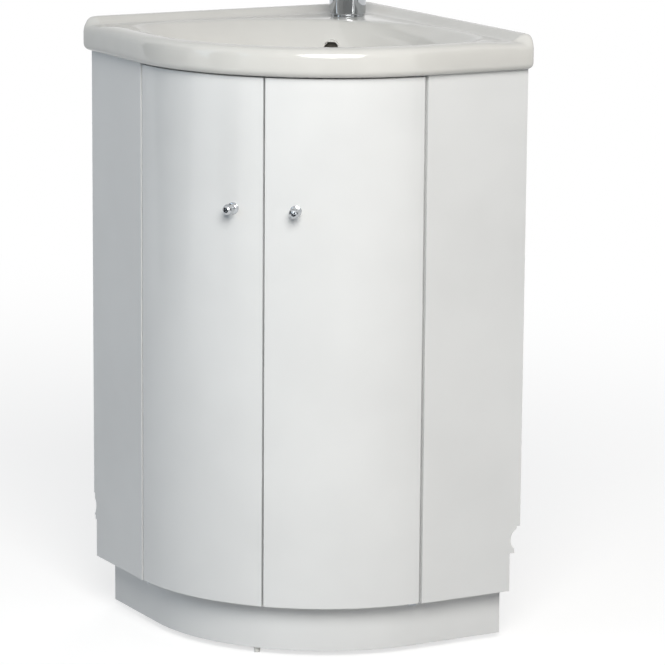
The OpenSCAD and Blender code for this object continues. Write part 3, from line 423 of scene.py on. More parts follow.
def mesh_object(name, shell):
    """An object at the origin from a shell in millimetres from the room corner, with
    all its faces turned outwards."""
    mesh = bpy.data.meshes.new(name)
    mesh.from_pydata(metres(shell[0]).tolist(), [], shell[1])
    turned_out = bmesh.new()
    turned_out.from_mesh(mesh)
    bmesh.ops.recalc_face_normals(turned_out, faces=turned_out.faces)
    turned_out.to_mesh(mesh)
    turned_out.free()
    return placed(name, mesh)


def smooth_by_angle(obj, degrees):
    """Smooth shading, except across edges sharper than the angle."""
    with bpy.context.temp_override(object=obj, active_object=obj, selected_objects=[obj],
                                   selected_editable_objects=[obj]):
        bpy.ops.object.shade_smooth_by_angle(angle=math.radians(degrees))


def piece(name, shell, *nodes, sharp=35):
    """A finished piece that stands for one or more CAD nodes, on their body."""
    made = shell if isinstance(shell, bpy.types.Object) else mesh_object(name, shell)
    made.data.materials.clear()
    made.data.materials.append(finish_of[nodes[0]])
    smooth_by_angle(made, sharp)
    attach(made, body_at[nodes[0]])
    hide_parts(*nodes)
    print(name, "faces", len(made.data.polygons))
    return made


# %% Cutting and joining solids
def carve(obj, shell, operation="DIFFERENCE"):
    """Applies a Boolean of obj and a shell, and removes the shell again."""
    tool = mesh_object("tool", shell)
    mod = obj.modifiers.new("carve", "BOOLEAN")
    mod.object, mod.operation, mod.solver = tool, operation, "EXACT"
    result = bpy.data.meshes.new_from_object(
        obj.evaluated_get(bpy.context.evaluated_depsgraph_get()))
    obj.modifiers.clear()
    obj.data = result
    bpy.data.objects.remove(tool)
    return obj


# %% Curves
def smooth_through(points, samples):
    """A Catmull-Rom curve through the points: between two of them each coordinate is
    the cubic whose slope at a point is half the step between its neighbours."""
    p = np.asarray(points, float)
    p = np.vstack([2 * p[0] - p[1], p, 2 * p[-1] - p[-2]])
    t = np.linspace(0, len(p) - 3, samples)
    i = np.minimum(t.astype(int), len(p) - 4)
    s = (t - i)[:, None]
    a, b, c, d = p[i], p[i + 1], p[i + 2], p[i + 3]
    return b + 0.5 * s * (c - a + s * (2 * a - 5 * b + 4 * c - d + s * (3 * (b - c) + d - a)))


def rounded(points, radius, closed=False, steps=6):
    """A polyline with its corners eased: each corner becomes the parabola between the
    points one radius before and after it, or nearer on short sides, with a point of
    support at each side."""
    p = np.asarray(points, float)
    before, after = np.roll(p, 1, 0), np.roll(p, -1, 0)
    out = []
    t = np.linspace(0, 1, steps)[:, None]
    for a, b, c, k in zip(before, p, after, range(len(p))):
        if not closed and k in (0, len(p) - 1):
            out.append(b[None])
            continue
        reach = min(radius, 0.45 * np.linalg.norm(a - b), 0.45 * np.linalg.norm(c - b))
        u = b + (a - b) / np.linalg.norm(a - b) * reach
        w = b + (c - b) / np.linalg.norm(c - b) * reach
        bend = (1 - t) ** 2 * u + 2 * t * (1 - t) * b + t ** 2 * w
        out += [u[None] + (u - b)[None] * 0.1, bend, w[None] + (w - b)[None] * 0.1]
    return np.vstack(out)


def turned(profile, origin, x=(1, 0, 0), z=(0, 0, 1), stations=72, closed=False,
           pole=0.02):
    """A profile of (radius, height) carried round an axis: point = origin + radius *
    (cos a * x + sin a * y) + height * z. No radius is less than the pole's, so that
    the face which closes a pole has an area."""
    x, z = np.array(x, float), np.array(z, float)
    y = np.cross(z, x)
    a = np.linspace(0, 2 * np.pi, stations, endpoint=False)
    r, h = np.asarray(profile, float).T[..., None, None]
    points = (np.array(origin, float) + np.maximum(r, pole)
              * (np.cos(a)[:, None] * x + np.sin(a)[:, None] * y) + h * z)
    return solid(points, closed)


# %% [markdown]
# ## The basin
# The basin is one casting, so it is one surface here too. Every station is a ray from
# the waste, and every ring is a closed line round it: up the bowl, over the rim and
# the deck, down the outer face, under the skirt, across the hollow underside and back
# to the waste hole. The outline is the front arc and the two ends, cut by the walls,
# and it is drawn in by each ring's own inset, which keeps the rolled edge even.

# %% Basin sizes
waste_forward = 5.0
rim_front, rim_side, rim_wall, tap_ledge = 17.0, 37.0, 33.0, 154.0
bowl_c = basin_w / 2 + waste_forward
bowl_at = np.array([-bowl_c, -bowl_c])
arc_at = np.array([-side_depth, -side_depth])
bowl_depth, ceramic, ledge = 140.0, 12.0, 16.0
upstand_h, ridge_flat, ridge_run = 10.0, 6.0, 22.0
crest, crest_fade = 2.5, 50.0
waste_hole_d, waste_seat_r = 45.0, 37.0
bowl_blend = 6
bowl_edges = [(0, rim_r - (bowl_c - side_depth) * math.sqrt(2) - rim_front),
              (45, basin_w - bowl_c - rim_side), (-45, basin_w - bowl_c - rim_side),
              (135, bowl_c - rim_wall), (-135, bowl_c - rim_wall),
              (180, bowl_c * math.sqrt(2) - tap_ledge)]
print("from the waste to the bowl's edge lines", [round(d) for _, d in bowl_edges])


def ease(t):
    """Smoothstep: 3 t squared minus 2 t cubed, held at 0 and 1 outside the range."""
    s = np.clip(t, 0, 1)
    return s * s * (3 - 2 * s)


# %% Stations, closer together near the three corners of the outline
def basin_stations(count=420):
    """Angles from the diagonal, spread by a density of 1 plus bells of a few degrees at
    the ends and at the room corner, read off the running sum of that density."""
    end = 225 - math.degrees(math.atan2(bowl_c, bowl_c - basin_w))
    end_spread, corner_spread, crowding = 2.2, 1.6, 9
    a = np.linspace(-180, 180, 7201)
    near_end = np.exp(-(((np.abs(a) - end) - 1) / end_spread) ** 2)
    near_corner = np.exp(-((180 - np.abs(a)) / corner_spread) ** 2)
    total = np.cumsum(1 + crowding * near_end + crowding * near_corner)
    return np.interp(np.linspace(total[0], total[-1], count, endpoint=False), total, a)


station = basin_stations()
ray = np.stack([np.cos(np.radians(225 + station)), np.sin(np.radians(225 + station))], 1)
print("stations:", len(station))


def reach(component, distance):
    """Length of a ray until its component has covered the distance, or a huge one where
    the ray runs another way and never does."""
    least, huge = 1e-6, 1e6
    return np.where(component > least, distance / np.maximum(component, least), huge)


def outline_radius(front_inset, wall_inset):
    """Ray length to the outline: the nearer of the end planes and the front arc, and
    the two walls, blended by a power mean that rounds the corners."""
    ends = np.minimum(reach(-ray[:, 0], basin_w - front_inset - bowl_c),
                      reach(-ray[:, 1], basin_w - front_inset - bowl_c))
    m = bowl_at - arc_at
    b = ray @ m
    arc = -b + np.sqrt(b * b - m @ m + (rim_r - front_inset) ** 2)
    tip = bowl_at + ends[:, None] * ray
    front = np.where((tip < -side_depth).all(1), np.minimum(ends, arc), ends)
    walls = [reach(ray[:, i], bowl_c - wall_inset) for i in (0, 1)]
    power = 90
    return (front ** -power + walls[0] ** -power + walls[1] ** -power) ** (-1 / power)


def bowl_radius(angle):
    """Ray length to the bowl's edge: the power mean of its six edge lines."""
    pull = [(np.maximum(0, np.cos(np.radians(angle - a))) / d) ** bowl_blend
            for a, d in bowl_edges]
    return sum(pull) ** (-1 / bowl_blend)


edge = bowl_radius(station)


# %% Heights of the top
def wall_distance(radius):
    """How far the points at these ray lengths are from the nearer wall."""
    p = bowl_at + radius[:, None] * ray
    return np.minimum(-p[:, 0], -p[:, 1])


on_front = ease((wall_distance(outline_radius(0, 0)) - ridge_run) / crest_fade)


def deck_height(radius, share):
    """Top of the casting: the flat deck, plus the ridge within 28 mm of a wall, plus
    the rolled edge at the front, which fades towards the bowl (share 1)."""
    ridge = upstand_h * (1 - ease((wall_distance(radius) - ridge_flat) / ridge_run))
    return rim_h + ridge + crest * on_front * (1 - ease(share))


# %% [markdown]
# The rings follow three lists of points, each smoothed by a curve. The bowl's slope is
# given as shares, of the way to the waste and of the depth. The two halves of the outer
# face are given as insets from the front and from the walls, and a height: for the lower
# half in millimetres, for the upper as a share of the rise to the rim. The lower one
# ends in a lip that hangs a little below the rest, where drops of water let go.

# %% Rings of the basin
bowl_z = rim_h - bowl_depth
floor_margin = 11
floor_r = waste_hole_d / 2 + floor_margin
roof_z = rim_h - ledge
bowl_slope = [(0, 0), (.015, .012), (.04, .035), (.09, .085), (.16, .165), (.25, .28),
              (.34, .42), (.43, .56), (.52, .7), (.61, .82), (.7, .915), (.78, .97)]
bowl_curve = smooth_through(bowl_slope, 74)
bulge_z = 18
outer_low = [(16, 12, 0), (13.5, 8, 0), (10, 4, -1.5), (4.5, 1.5, .3), (1, 0, 4.5), (0, 0, 10),
             (0, 0, bulge_z)]
outer_high = [(0, 0, .35), (1.5, 0, .62), (5, .3, .84), (10, 1.2, .95), (17, 4, 1)]
deepest_wall_inset = 3
skirt_inset = 26


def ring(radius, z):
    """Points at the given ray lengths and heights above the basin's underside."""
    p = bowl_at + radius[:, None] * ray
    return np.column_stack([p, np.broadcast_to(z, len(p)) + under_z])


def rolled_edge(radius, z, half=7.0):
    """The heights with the bowl's edge rolled over: within half of the edge, the kink
    between the level deck and the wall of slope m becomes the parabola
    m (x + half)^2 / (4 half), where x is the distance beyond the edge."""
    x = np.clip(edge - radius, -half, half)
    m = bowl_slope[1][1] / bowl_slope[1][0] * bowl_depth / edge
    return z - m * ((x + half) ** 2 / (4 * half) - np.maximum(x, 0))


def basin_rings():
    """All rings from the waste hole's upper edge round to its lower one. The hollow
    underside keeps outside the bowl by the wall's thickness, and inside the skirt."""
    rings = [ring(np.full(len(station), r), bowl_z) for r in
             (waste_hole_d / 2, waste_hole_d / 2 + 1, floor_r - 4)]
    for way, drop in bowl_curve[::-1]:
        r = edge * (1 - way)
        rings.append(ring(r, rolled_edge(r, rim_h - bowl_depth * drop)))
    top = outline_radius(*outer_high[-1][:2])
    for share in 1 - np.linspace(0, 1, 24)[1:-1] ** 1.7:
        r = top + (edge - top) * share
        rings.append(ring(r, rolled_edge(r, deck_height(r, share))))
    crown = deck_height(top, 0)
    for front, wall, rise in smooth_through(outer_high[::-1], 14):
        r = outline_radius(front, wall)
        rings.append(ring(r, rolled_edge(r, bulge_z + (crown - bulge_z) * rise)))
    for front, wall, z in smooth_through(outer_low[::-1], 20)[1:]:
        rings.append(ring(outline_radius(front, min(wall, deepest_wall_inset)), z))
    skirt = outline_radius(skirt_inset, ceramic)
    for inset, z in ((0, 0), (0.5, 0.8), (0.8, 4), (1, roof_z - 4)):
        rings.append(ring(skirt - inset, z))
    shell = smooth_through(bowl_slope[3:], 33)
    for i, (way, drop) in zip(np.linspace(0, len(bowl_slope) - 4, len(shell)), shell):
        r = np.minimum(edge * (1 - way) + ceramic - 1, skirt - 2 - 1.5 * i)
        outside = min(roof_z - 1, rim_h - bowl_depth * drop - 7 - 5 * way)
        rings.append(ring(r, roof_z if i == 0 else outside))
    for r in (floor_r + 4, waste_hole_d / 2 + 1, waste_hole_d / 2):
        rings.append(ring(np.full(len(station), r), bowl_z - ceramic))
    return np.array(rings)


rings = basin_rings()
print("basin rings and stations", rings.shape[:2])

# %% [markdown]
# The tap hole and the overflow are cut out of the casting as solids, because a Boolean
# gives exact edges without rebuilding the grid. The overflow hole opens into a pocket,
# and from there a channel follows the back of the bowl down to the waste, inside a rib
# that thickens the wall.

# %% Rods and tubes
def rod(start, end, radius, stations=48):
    """A plain cylinder between two points."""
    start, end = np.array(start, float), np.array(end, float)
    length = np.linalg.norm(end - start)
    axis = (end - start) / length
    side = np.cross(axis, (0.3, -1, 0.2))
    return turned([(0, 0), (radius, 0), (radius, length), (0, length)], start,
                  side / np.linalg.norm(side), axis, stations)


def behind_bowl(out, side, z):
    """Points behind the waste: out towards the room corner, side along the bowl's back
    and z above the basin's underside."""
    out, side, z = np.broadcast_arrays(out, side, z)
    return np.stack([-bowl_c + (out - side) / math.sqrt(2),
                     -bowl_c + (out + side) / math.sqrt(2), under_z + z], -1)


def diagonal_tube(path, radius, stations=28):
    """A round tube along a path (out, z) in the upright plane of the diagonal: each
    ring stands square to the path's direction."""
    step = np.gradient(path, axis=0)
    step /= np.linalg.norm(step, axis=1)[:, None]
    a = np.linspace(0, 2 * np.pi, stations, endpoint=False)
    out = path[:, :1] - step[:, 1:] * radius * np.cos(a)
    z = path[:, 1:] + step[:, :1] * radius * np.cos(a)
    return solid(behind_bowl(out, radius * np.sin(a), z))


# %% Overflow
overflow_z, overflow_d, pocket_wall = rim_h - 39.0, 22.0, 3.0
channel_r, rib_r = 4.0, 7.0
back_edge = bowl_radius(180.0)


def wall_out(side, z):
    """How far behind the waste the bowl's wall stands at a side and height. The station
    angle depends on the answer, so four rounds of the same step settle it."""
    way = np.interp((rim_h - z) / bowl_depth, bowl_curve[:, 1], bowl_curve[:, 0])
    out = back_edge * (1 - way)
    for _ in range(4):
        turn = np.arctan2(side, out)
        out = bowl_radius(180 - np.degrees(turn)) * (1 - way) * np.cos(turn)
    return out


def overflow_mouth(radius, end, lip=1.6, ahead=6, stations=64):
    """The pocket behind the overflow hole as a solid to cut out, which starts ahead of
    the wall. Its rim rolls over a lip: from the wall itself at radius + lip, round a
    quarter circle, to the radius."""
    a = np.linspace(0, 2 * np.pi, stations, endpoint=False)
    rings = []
    for t in np.linspace(0, np.pi / 2, 8):
        r = radius + lip * (1 - np.sin(t))
        side, z = r * np.cos(a), overflow_z + r * np.sin(a)
        rings.append((wall_out(side, z) + lip * (1 - np.cos(t)), side, z))
    first, last = rings[0], rings[-1]
    rings = [(first[0] - ahead, *first[1:]), *rings, (np.full(stations, end), *last[1:])]
    return solid(np.array([behind_bowl(*r) for r in rings]))


overflow_out = wall_out(0.0, overflow_z)
pocket_end = overflow_out + ceramic + 2
wall_line = np.column_stack([back_edge * (1 - bowl_curve[:, 0]),
                             rim_h - bowl_depth * bowl_curve[:, 1]])
print("overflow hole behind the waste", round(float(overflow_out), 1))


def set_back(depth):
    """The bowl's back wall between 0.42 and 0.83 of its depth, moved into the wall."""
    step = np.gradient(wall_line, axis=0)
    step /= np.linalg.norm(step, axis=1)[:, None]
    inside = (bowl_curve[:, 1] > 0.42) & (bowl_curve[:, 1] < 0.83)
    return (wall_line + np.column_stack([-step[:, 1], step[:, 0]]) * depth)[inside]


def run(depth, below):
    """Smooth path of the channel (out, z): from the pocket, down behind the wall at a
    depth in it, and below the bowl's floor to the waste hole."""
    points = np.vstack([[(pocket_end - channel_r, overflow_z)], set_back(depth)[::3],
                        [(floor_r + 6, bowl_z - below),
                         (waste_hole_d / 2 - 1, bowl_z - below)]])
    return smooth_through(points, 40)


# %% The casting
tap_c = 79.0
tap_hole_r = 17.5

basin = mesh_object("basin_casting", solid(rings, closed_rings=True))
carve(basin, diagonal_tube(run(depth=9, below=7.4), rib_r), "UNION")
carve(basin, rod(behind_bowl(overflow_out + 5, 0, overflow_z),
                 behind_bowl(pocket_end + pocket_wall, 0, overflow_z),
                 overflow_d / 2 + pocket_wall), "UNION")
carve(basin, rod((-bowl_c, -bowl_c, under_z + bowl_z - 2 * ceramic),
                 (-bowl_c, -bowl_c, under_z + bowl_z - ceramic), waste_seat_r, 96))
carve(basin, diagonal_tube(run(depth=8, below=6), channel_r))
carve(basin, overflow_mouth(overflow_d / 2, pocket_end))
carve(basin, rod((-tap_c, -tap_c, under_z), (-tap_c, -tap_c, rim_z + 20), tap_hole_r, 64))
piece("basin_casting", basin, "basin", sharp=40)


def paint_overflow_shade(obj):
    """Gives the faces inside the overflow pocket the bare china whose dark colour is painted
    shade.
    """
    faces = obj.data.polygons
    centre = np.empty(3 * len(faces))
    faces.foreach_get("center", centre)
    p = centre.reshape(-1, 3) / MM - corner - [*bowl_at, under_z]
    out, side = (p[:, 0] + p[:, 1]) / math.sqrt(2), (p[:, 1] - p[:, 0]) / math.sqrt(2)
    near_axis = np.hypot(side, p[:, 2] - overflow_z) < overflow_d / 2 + 0.2
    inside = near_axis & (out > wall_out(side, p[:, 2]) + 2) & (out < pocket_end + 1)
    # Faces inside the pocket get the material whose dark colour is painted shade.
    faces.foreach_set("material_index", inside.astype(int))
    obj.data.update()
    print("bare faces in the overflow", inside.sum())


# The second material paints the shade inside the overflow pocket.
basin.data.materials.append(overflow_painted_shade)
paint_overflow_shade(basin)

# %% [markdown]
# ## Knobs and tap
# The knobs are turned from brass bar and plated: a small disc, a waisted neck and a
# ball that the lathe leaves very slightly flat in front. Such pieces are one profile
# carried round an axis, which is how they are made.

# %% Ball knobs
cab_w = -(panel_low.x / MM - corner[0])
front_r = cab_w - side_depth
knob_low, knob_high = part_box("left_knob")
knob_z = (knob_low.z + knob_high.z) / 2 / MM


def knob_profile(ball_r=7.5, ball_z=16):
    """Radius over height: disc with an eased edge, waisted neck, ball of 15 mm."""
    a = np.linspace(math.radians(152), math.radians(8), 26)
    ball = np.column_stack([ball_r * np.sin(a), ball_z - ball_r * np.cos(a)])
    foot = rounded([(0, -0.3), (8, -0.3), (8, 1.2), (5.6, 2.0)], 0.5)
    neck = smooth_through([(5.6, 2.0), (4.3, 3.0), (3.45, 4.8), (3.2, 7.2), ball[0]], 14)
    return np.vstack([foot[:-1], neck[:-1], ball, [(0.5, 23.5), (0, 23.5)]])


def knob(angle):
    """A knob that stands square on the curved front at an angle round its centre."""
    out = np.array([math.cos(angle), math.sin(angle), 0])
    at = np.array([*arc_at, knob_z]) + out * front_r
    return turned(knob_profile(), at, (0, 0, 1), out, 64)


knob_inset = 44
knob_turn = knob_inset / front_r
piece("left_knob_turned", knob(math.radians(225) - knob_turn), "left_knob", sharp=50)
piece("right_knob_turned", knob(math.radians(225) + knob_turn), "right_knob", sharp=50)

# %% [markdown]
# The tap's body is a plated casting. Its foot is the part that shows best: a straight
# drum that tapers in a little towards a thin ring on the deck. The spout is an oval
# carried forward and up, its section flared where it leaves the drum, as a casting
# would be, and the lever is a cap over the dome with a flat blade.

# %% Frame of the tap
tap_out = np.array([-1, -1, 0]) / math.sqrt(2)
tap_side = np.array([1, -1, 0]) / math.sqrt(2)
tap_at = np.array([-tap_c, -tap_c, rim_z])
tap_h, tap_r, ring_h, dome_r = 92.0, 26.0, 4.0, 23.0
dome_z = tap_h + 2
print("tap axis in front of both walls", tap_c, "dome centre above the deck", dome_z)


def tap_turned(profile, **more):
    """A profile carried round the tap's own axis."""
    return turned(profile, tap_at, tap_out, (0, 0, 1), **more)


def dome_arc(radius, angles):
    """Profile points on a circle round the dome's centre, at angles from the level."""
    return radius * np.column_stack([np.cos(angles), np.sin(angles)]) + [0, dome_z]


def swept(path, widths, heights, stations=40, power=2.0, noses=(0.6, 0.9)):
    """An oval carried along a path in the tap's own plane: at each point of the path,
    (out, up), the section is a superellipse square to the path. Both ends close over
    quarter-ellipse noses, as long as the given parts of half the section's height."""
    p = np.asarray(path, float)
    tangent = np.gradient(p, axis=0)
    tangent /= np.linalg.norm(tangent, axis=1)[:, None]
    turn = np.linspace(0.03, np.pi / 2, 8)
    nose, back = np.sin(turn), 1 - np.cos(turn)
    w, h = np.asarray(widths, float) / 2, np.asarray(heights, float) / 2
    start = p[0] - tangent[0] * h[0] * (1 - back[:, None]) * noses[0]
    end = (p[-1] + tangent[-1] * h[-1] * (1 - back[:, None]) * noses[1])[::-1]
    p = np.vstack([start[:-1], p, end[1:]])
    tangent = np.pad(tangent, [(len(nose) - 1,) * 2, (0, 0)], "edge")
    w = np.concatenate([w[0] * nose[:-1], w, (w[-1] * nose[:-1])[::-1]])
    h = np.concatenate([h[0] * nose[:-1], h, (h[-1] * nose[:-1])[::-1]])
    a = np.linspace(0, 2 * np.pi, stations, endpoint=False)
    c, s = np.cos(a), np.sin(a)
    across = np.sign(c) * np.abs(c) ** (2 / power)
    upward = np.sign(s) * np.abs(s) ** (2 / power)
    up = np.column_stack([-tangent[:, 1], tangent[:, 0]])
    out_up = p[:, None] + (h[:, None] * upward)[..., None] * up[:, None]
    points = (tap_at + out_up[..., :1] * tap_out + out_up[..., 1:] * np.array([0, 0, 1])
              + (w[:, None] * across)[..., None] * tap_side)
    return solid(points)


# %% Tap body with its spout
drum = rounded([(0, ring_h), (tap_r - 0.6, ring_h), (tap_r, ring_h + 1.5), (tap_r + 1, tap_h),
                (tap_r - 0.5, dome_z), (dome_r + 0.3, dome_z)], 1.2)
arch = np.linspace(0, np.pi / 2, 16)
body = mesh_object("tap_body_cast", tap_turned(np.vstack([drum, dome_arc(dome_r, arch)]),
                                               stations=96))
spout = smooth_through([(8, 58), (30, 61.5), (52, 66), (86, 72.5), (121.8, 77)], 30)
sized_at = [8, 52, 121.8]
flare = 7 * np.exp(-np.maximum(spout[:, 0] - 25, 0) / 5)
width = np.interp(spout[:, 0], sized_at, [36, 34, 30]) + flare
depth = np.interp(spout[:, 0], sized_at, [30, 21, 14]) + flare
carve(body, swept(spout, width, depth, power=2.3), "UNION")
spout_reach, aerator_r = 108.0, 11.0
outlet_at = tap_at + tap_out * spout_reach
carve(body, turned(rounded([(0, 64.5), (13, 64.5), (13, 76), (0, 76)], 0.8), outlet_at,
                   tap_out, (0, 0, 1), 64), "UNION")
carve(body, rod(outlet_at + [0, 0, 60], outlet_at + [0, 0, 73], aerator_r + 0.1, 64))
spindle_bore = [(0, 64), (10.1, 64), (10.1, 98), (13.4, 118), (0, 118)]
carve(body, tap_turned(spindle_bore, stations=64))
piece("tap_body_cast", body, "tap_body", sharp=30)

# %% Base ring and lever
piece("tap_base_ring_turned", tap_turned(rounded(
    [(16, 0), (24.2, 0), (24.5, 1), (24.5, 4), (16, 4)], 0.5, closed=True), closed=True,
    stations=96), "tap_base_ring", sharp=50)


cap_cut, cap_over, cap_gap = 11.0, 4.0, 0.4


def lever_cap():
    """A spherical shell over the dome: outer arc, eased lip, inner arc."""
    cut, outer, inner = cap_cut, dome_r + cap_over, dome_r + cap_gap
    a = np.linspace(np.pi / 2, math.asin(cut / outer), 24)
    b = np.linspace(math.asin(cut / inner), np.pi / 2, 20)
    lip = [(math.sqrt(outer ** 2 - cut ** 2) - 1, cut - 0.5 + dome_z),
           (math.sqrt(inner ** 2 - cut ** 2) + 0.8, cut - 0.5 + dome_z)]
    return tap_turned(np.vstack([dome_arc(outer, a), lip, dome_arc(inner, b)]))


lever = mesh_object("tap_lever_cast", lever_cap())
blade = smooth_through([(14, 113), (34, 120.5), (62, 128.5), (93, 133.4)], 30)
sized_at = [14, 30, 93]
blade_w = np.interp(blade[:, 0], sized_at, [30, 27, 17])
blade_h = np.interp(blade[:, 0], sized_at, [15, 9, 5])
carve(lever, swept(blade, blade_w, blade_h, power=2.6), "UNION")
carve(lever, tap_turned(dome_arc(dome_r + cap_gap, arch)[::-1]))
carve(lever, rod(tap_at + [0, 0, dome_z - 4], tap_at + [0, 0, dome_z + dome_r + 2], 3.5, 32),
      "UNION")
piece("tap_lever_cast", lever, "tap_lever", sharp=35)

# %% [markdown]
# The plug is the one piece of the waste that is seen: a shallow dome with an eased edge
# on a thin stem. It is turned and plated like the knobs, so it is one profile as well.

# %% Waste plug
floor_z = under_z + bowl_z
plug_profile = np.vstack([
    [(0, -29), (3.6, -29), (4, -28.4), (4, -0.4), (4.4, 0)],
    rounded([(27, 0), (28, 0), (25.6, 2.2), (20, 2.6)], 0.7),
    [(12, 2.9), (5, 3), (0, 3)]])
piece("waste_plug_turned", turned(plug_profile, (-bowl_c, -bowl_c, floor_z + 3), stations=96),
      "waste_plug", sharp=50)

# %% [markdown]
# ## Boards and small fittings
# Boards, pipes, plates and screws have the right shape already, so they keep the CAD
# mesh. Its triangles are welded, flat faces are merged, and sharp edges are eased by
# what suits the material: 0.6 mm on a lacquered board, 0.15 mm on pressed steel.

# %% Eased edges for the CAD nodes
edge_mm = {"gloss_board": 0.6, "carcass_board": 0.5, "beech": 0.6, "zinc_steel": 0.15,
           "white_plastic": 0.5, "nylon": 0.3, "clear_buffer": 0.6, "black_plastic": 0.8,
           "chrome": 0.4, "aerator_plastic": 0.2, "brass": 0.3, "rubber": 0.3,
           "pipe_plastic": 0.6}


def dress(node):
    """Welds, merges flat faces, eases the edges and gives the node its finish. Two
    boards of one node that touch along an edge share it after the weld, so edges with
    more than two faces are taken apart again."""
    obj = frame["nodes"][node]
    obj.data.materials.clear()
    obj.data.materials.append(finish_of[node])
    obj.data.shade_smooth()
    weld = obj.modifiers.new("weld", "WELD")
    weld.merge_threshold = 0.00001
    apart = obj.modifiers.new("touching solids apart", "EDGE_SPLIT")
    apart.split_angle, apart.use_edge_sharp = math.radians(179), False
    flat = obj.modifiers.new("flat faces", "DECIMATE")
    flat.decimate_type, flat.angle_limit = "DISSOLVE", math.radians(0.4)
    bevel = obj.modifiers.new("eased edges", "BEVEL")
    bevel.width = edge_mm[slot_of[node]] * MM
    bevel.segments, bevel.limit_method = 3, "ANGLE"
    bevel.angle_limit = math.radians(28)
    bevel.miter_outer = "MITER_ARC"
    even = obj.modifiers.new("flat faces look flat", "WEIGHTED_NORMAL")
    even.weight, even.keep_sharp = 80, True


plain = [n for n in slot_of if not frame["nodes"][n].hide_render]
for node in plain:
    dress(node)
print("dressed CAD nodes:", len(plain))

# %% [markdown]
# ## Studio
# The photograph was taken from a little above the basin, far back with a long lens,
# with the camera turned 28.9 degrees from the line of the right wall. This camera
# stands there too. It looks down a little and has no lens shift, because the other
# views keep the shift and would lose the unit from their frame.

# %% Camera
def aimed_camera():
    """A camera at the photograph's place: forward from yaw and pitch, then rolled."""
    yaw, pitch, roll = math.radians(28.88), math.radians(11.33), math.radians(0.437)
    forward = Vector((math.sin(yaw) * math.cos(pitch), math.cos(yaw) * math.cos(pitch),
                      -math.sin(pitch)))
    level = Vector((math.cos(yaw), -math.sin(yaw), 0))
    upright = level.cross(forward)
    right = level * math.cos(roll) + upright * math.sin(roll)
    data = bpy.data.cameras.new("camera")
    data.lens, data.sensor_width, data.clip_end = 197.9, 36.0, 100.0
    cam = placed("camera", data)
    turn = Matrix((right, right.cross(forward), -forward)).transposed()
    cam.matrix_world = Matrix.Translation((-2.382, -4.404, 1.425)) @ turn.to_4x4()
    bpy.context.scene.camera = cam
    return cam


camera = aimed_camera()
print("camera at", [round(v, 3) for v in camera.location], "lens", round(camera.data.lens, 1))

# %% [markdown]
# The floor and the world turn white only where a camera ray or a mirror meets them, by
# Light Path. So the background is white without more light on the unit, and the floor
# still takes its shadow.

# %% Floor and world
def seen_directly(tree):
    """1 for rays from the camera, and for those that a mirror or glass sends on."""
    path = add(tree, "ShaderNodeLightPath")
    mirrored = add(tree, "ShaderNodeMath", {0: path.outputs["Is Glossy Ray"],
                                            1: path.outputs["Is Transmission Ray"]},
                   operation="MAXIMUM")
    return add(tree, "ShaderNodeMath", {0: path.outputs["Is Camera Ray"],
                                        1: mirrored.outputs[0]}, operation="MAXIMUM").outputs[0]


def pale_floor(lift):
    """A plain pale floor, 28 m square and a hair below the feet, so that the two don't
    flicker. Where it is seen, it is lifted towards white: near the unit by a constant,
    so that the shadow stays, and from 1 m to 3 m away it fades into the backdrop."""
    mesh = bpy.data.meshes.new("floor")
    half, drop = 14.0, -0.0003
    mesh.from_pydata([(-half, -half, drop), (half, -half, drop), (half, half, drop),
                      (-half, half, drop)], [], [(0, 1, 2, 3)])
    floor = placed("floor", mesh)
    mat, tree, shader = surface_material("studio_floor", Base_Color=linear("#B6B6B6"),
                                         Roughness=0.9, Specular_IOR_Level=0.0)
    seen = seen_directly(tree)
    at = add(tree, "ShaderNodeTexCoord").outputs["Object"]
    away = add(tree, "ShaderNodeVectorMath", {0: at}, operation="LENGTH")
    far = add(tree, "ShaderNodeMapRange", {"Value": away.outputs["Value"], "From Min": 1.0,
                                           "From Max": 3.0}, interpolation_type="SMOOTHSTEP")
    far_seen = add(tree, "ShaderNodeMath", {0: seen, 1: far.outputs["Result"]},
                   operation="MULTIPLY")
    near_lift = add(tree, "ShaderNodeMath", {0: seen, 1: lift}, operation="MULTIPLY")
    glow = add(tree, "ShaderNodeEmission", {"Strength": near_lift.outputs[0]})
    near = add(tree, "ShaderNodeAddShader", {0: shader.outputs[0], 1: glow.outputs[0]})
    white = add(tree, "ShaderNodeEmission", {"Strength": 1.0})
    both = add(tree, "ShaderNodeMixShader", {0: far_seen.outputs[0], 1: near.outputs[0],
                                             2: white.outputs[0]})
    tree.links.new(both.outputs[0], tree.nodes["Material Output"].inputs["Surface"])
    mesh.materials.append(mat)


def studio_world(strength):
    """Faint even light, and a white backdrop where it is seen."""
    world = bpy.data.worlds.new("studio")
    world.use_nodes = True
    bpy.context.scene.world = world
    tree = world.node_tree
    tree.nodes.clear()
    light = add(tree, "ShaderNodeBackground", {"Color": linear("#EEF3FA"),
                                               "Strength": strength})
    white = add(tree, "ShaderNodeBackground", {"Color": linear("#FFFFFF"), "Strength": 1.0})
    mix = add(tree, "ShaderNodeMixShader", {0: seen_directly(tree), 1: light.outputs[0],
                                            2: white.outputs[0]})
    add(tree, "ShaderNodeOutputWorld", {"Surface": mix.outputs[0]})


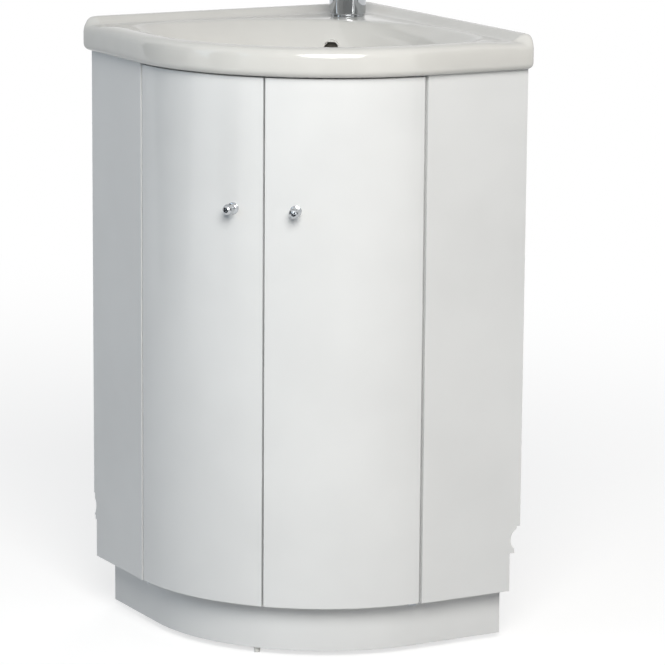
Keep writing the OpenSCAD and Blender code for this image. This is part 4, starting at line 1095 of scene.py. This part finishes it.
# %% [markdown]
# One large soft lamp stands above the camera's line, a weak cool one fills the left
# side, and one behind lights the open back and stays out of mirrors. Chrome shows its
# shape only by dark things beside it, and this studio is white all round, so three
# dark cards stand where the chrome's edges look.

# %% Lamps and cards
def softbox(name, place, aim, size, watts, colour, mirrored=True):
    """A large round area lamp at a place, aimed at a point, that mirrors may leave out."""
    data = bpy.data.lights.new(name, "AREA")
    data.shape, data.size, data.energy = "DISK", size, watts
    data.color = linear(colour)[:3]
    lamp = placed(name, data, place)
    lamp.rotation_euler = (Vector(aim) - Vector(place)).to_track_quat("-Z", "Y").to_euler()
    lamp.visible_glossy = mirrored


def dark_flag(name, place, aim, width, height):
    """A dark oval card that only mirrors see: it gives chrome the dark edge that a
    room would. It faces a point of the unit, and casts no shadow."""
    a = np.linspace(0, 2 * np.pi, 64, endpoint=False)
    oval = np.column_stack([np.cos(a) * width / 2, np.sin(a) * height / 2, 0 * a])
    mesh = bpy.data.meshes.new(name)
    mesh.from_pydata(oval.tolist(), [], [list(range(len(a)))])
    card = placed(name, mesh, place)
    card.rotation_euler = (Vector(aim) - Vector(place)).to_track_quat("Z", "Y").to_euler()
    mat, _, _ = surface_material(name, Base_Color=linear("#20262A"), Roughness=1.0)
    mesh.materials.append(mat)
    for ray in ("camera", "diffuse", "transmission", "shadow"):
        setattr(card, "visible_" + ray, False)


pale_floor(0.68)
studio_world(0.12)
aim = (0, 0, 0.45)
softbox("key_softbox", (-1.18, -2.64, 2.3), aim, 2.0, 103, "#FFFDF9")
softbox("left_softbox", (-3.2, -0.3, 1.5), aim, 1.8, 11, "#ADD2EE")
softbox("back_softbox", (2.6, 2.8, 2.0), aim, 2.4, 45, "#FFFFFF", mirrored=False)
dark_flag("left_flag", (-2.7, -0.4, 1.0), aim, 0.9, 2.2)
dark_flag("far_left_flag", (-2.2, 1.3, 1.0), aim, 1.7, 2.6)
dark_flag("right_flag", (1.4, -2.3, 1.0), aim, 1.2, 2.2)
bpy.context.scene.view_settings.view_transform = "Standard"
print("lamps:", len(bpy.data.lights))
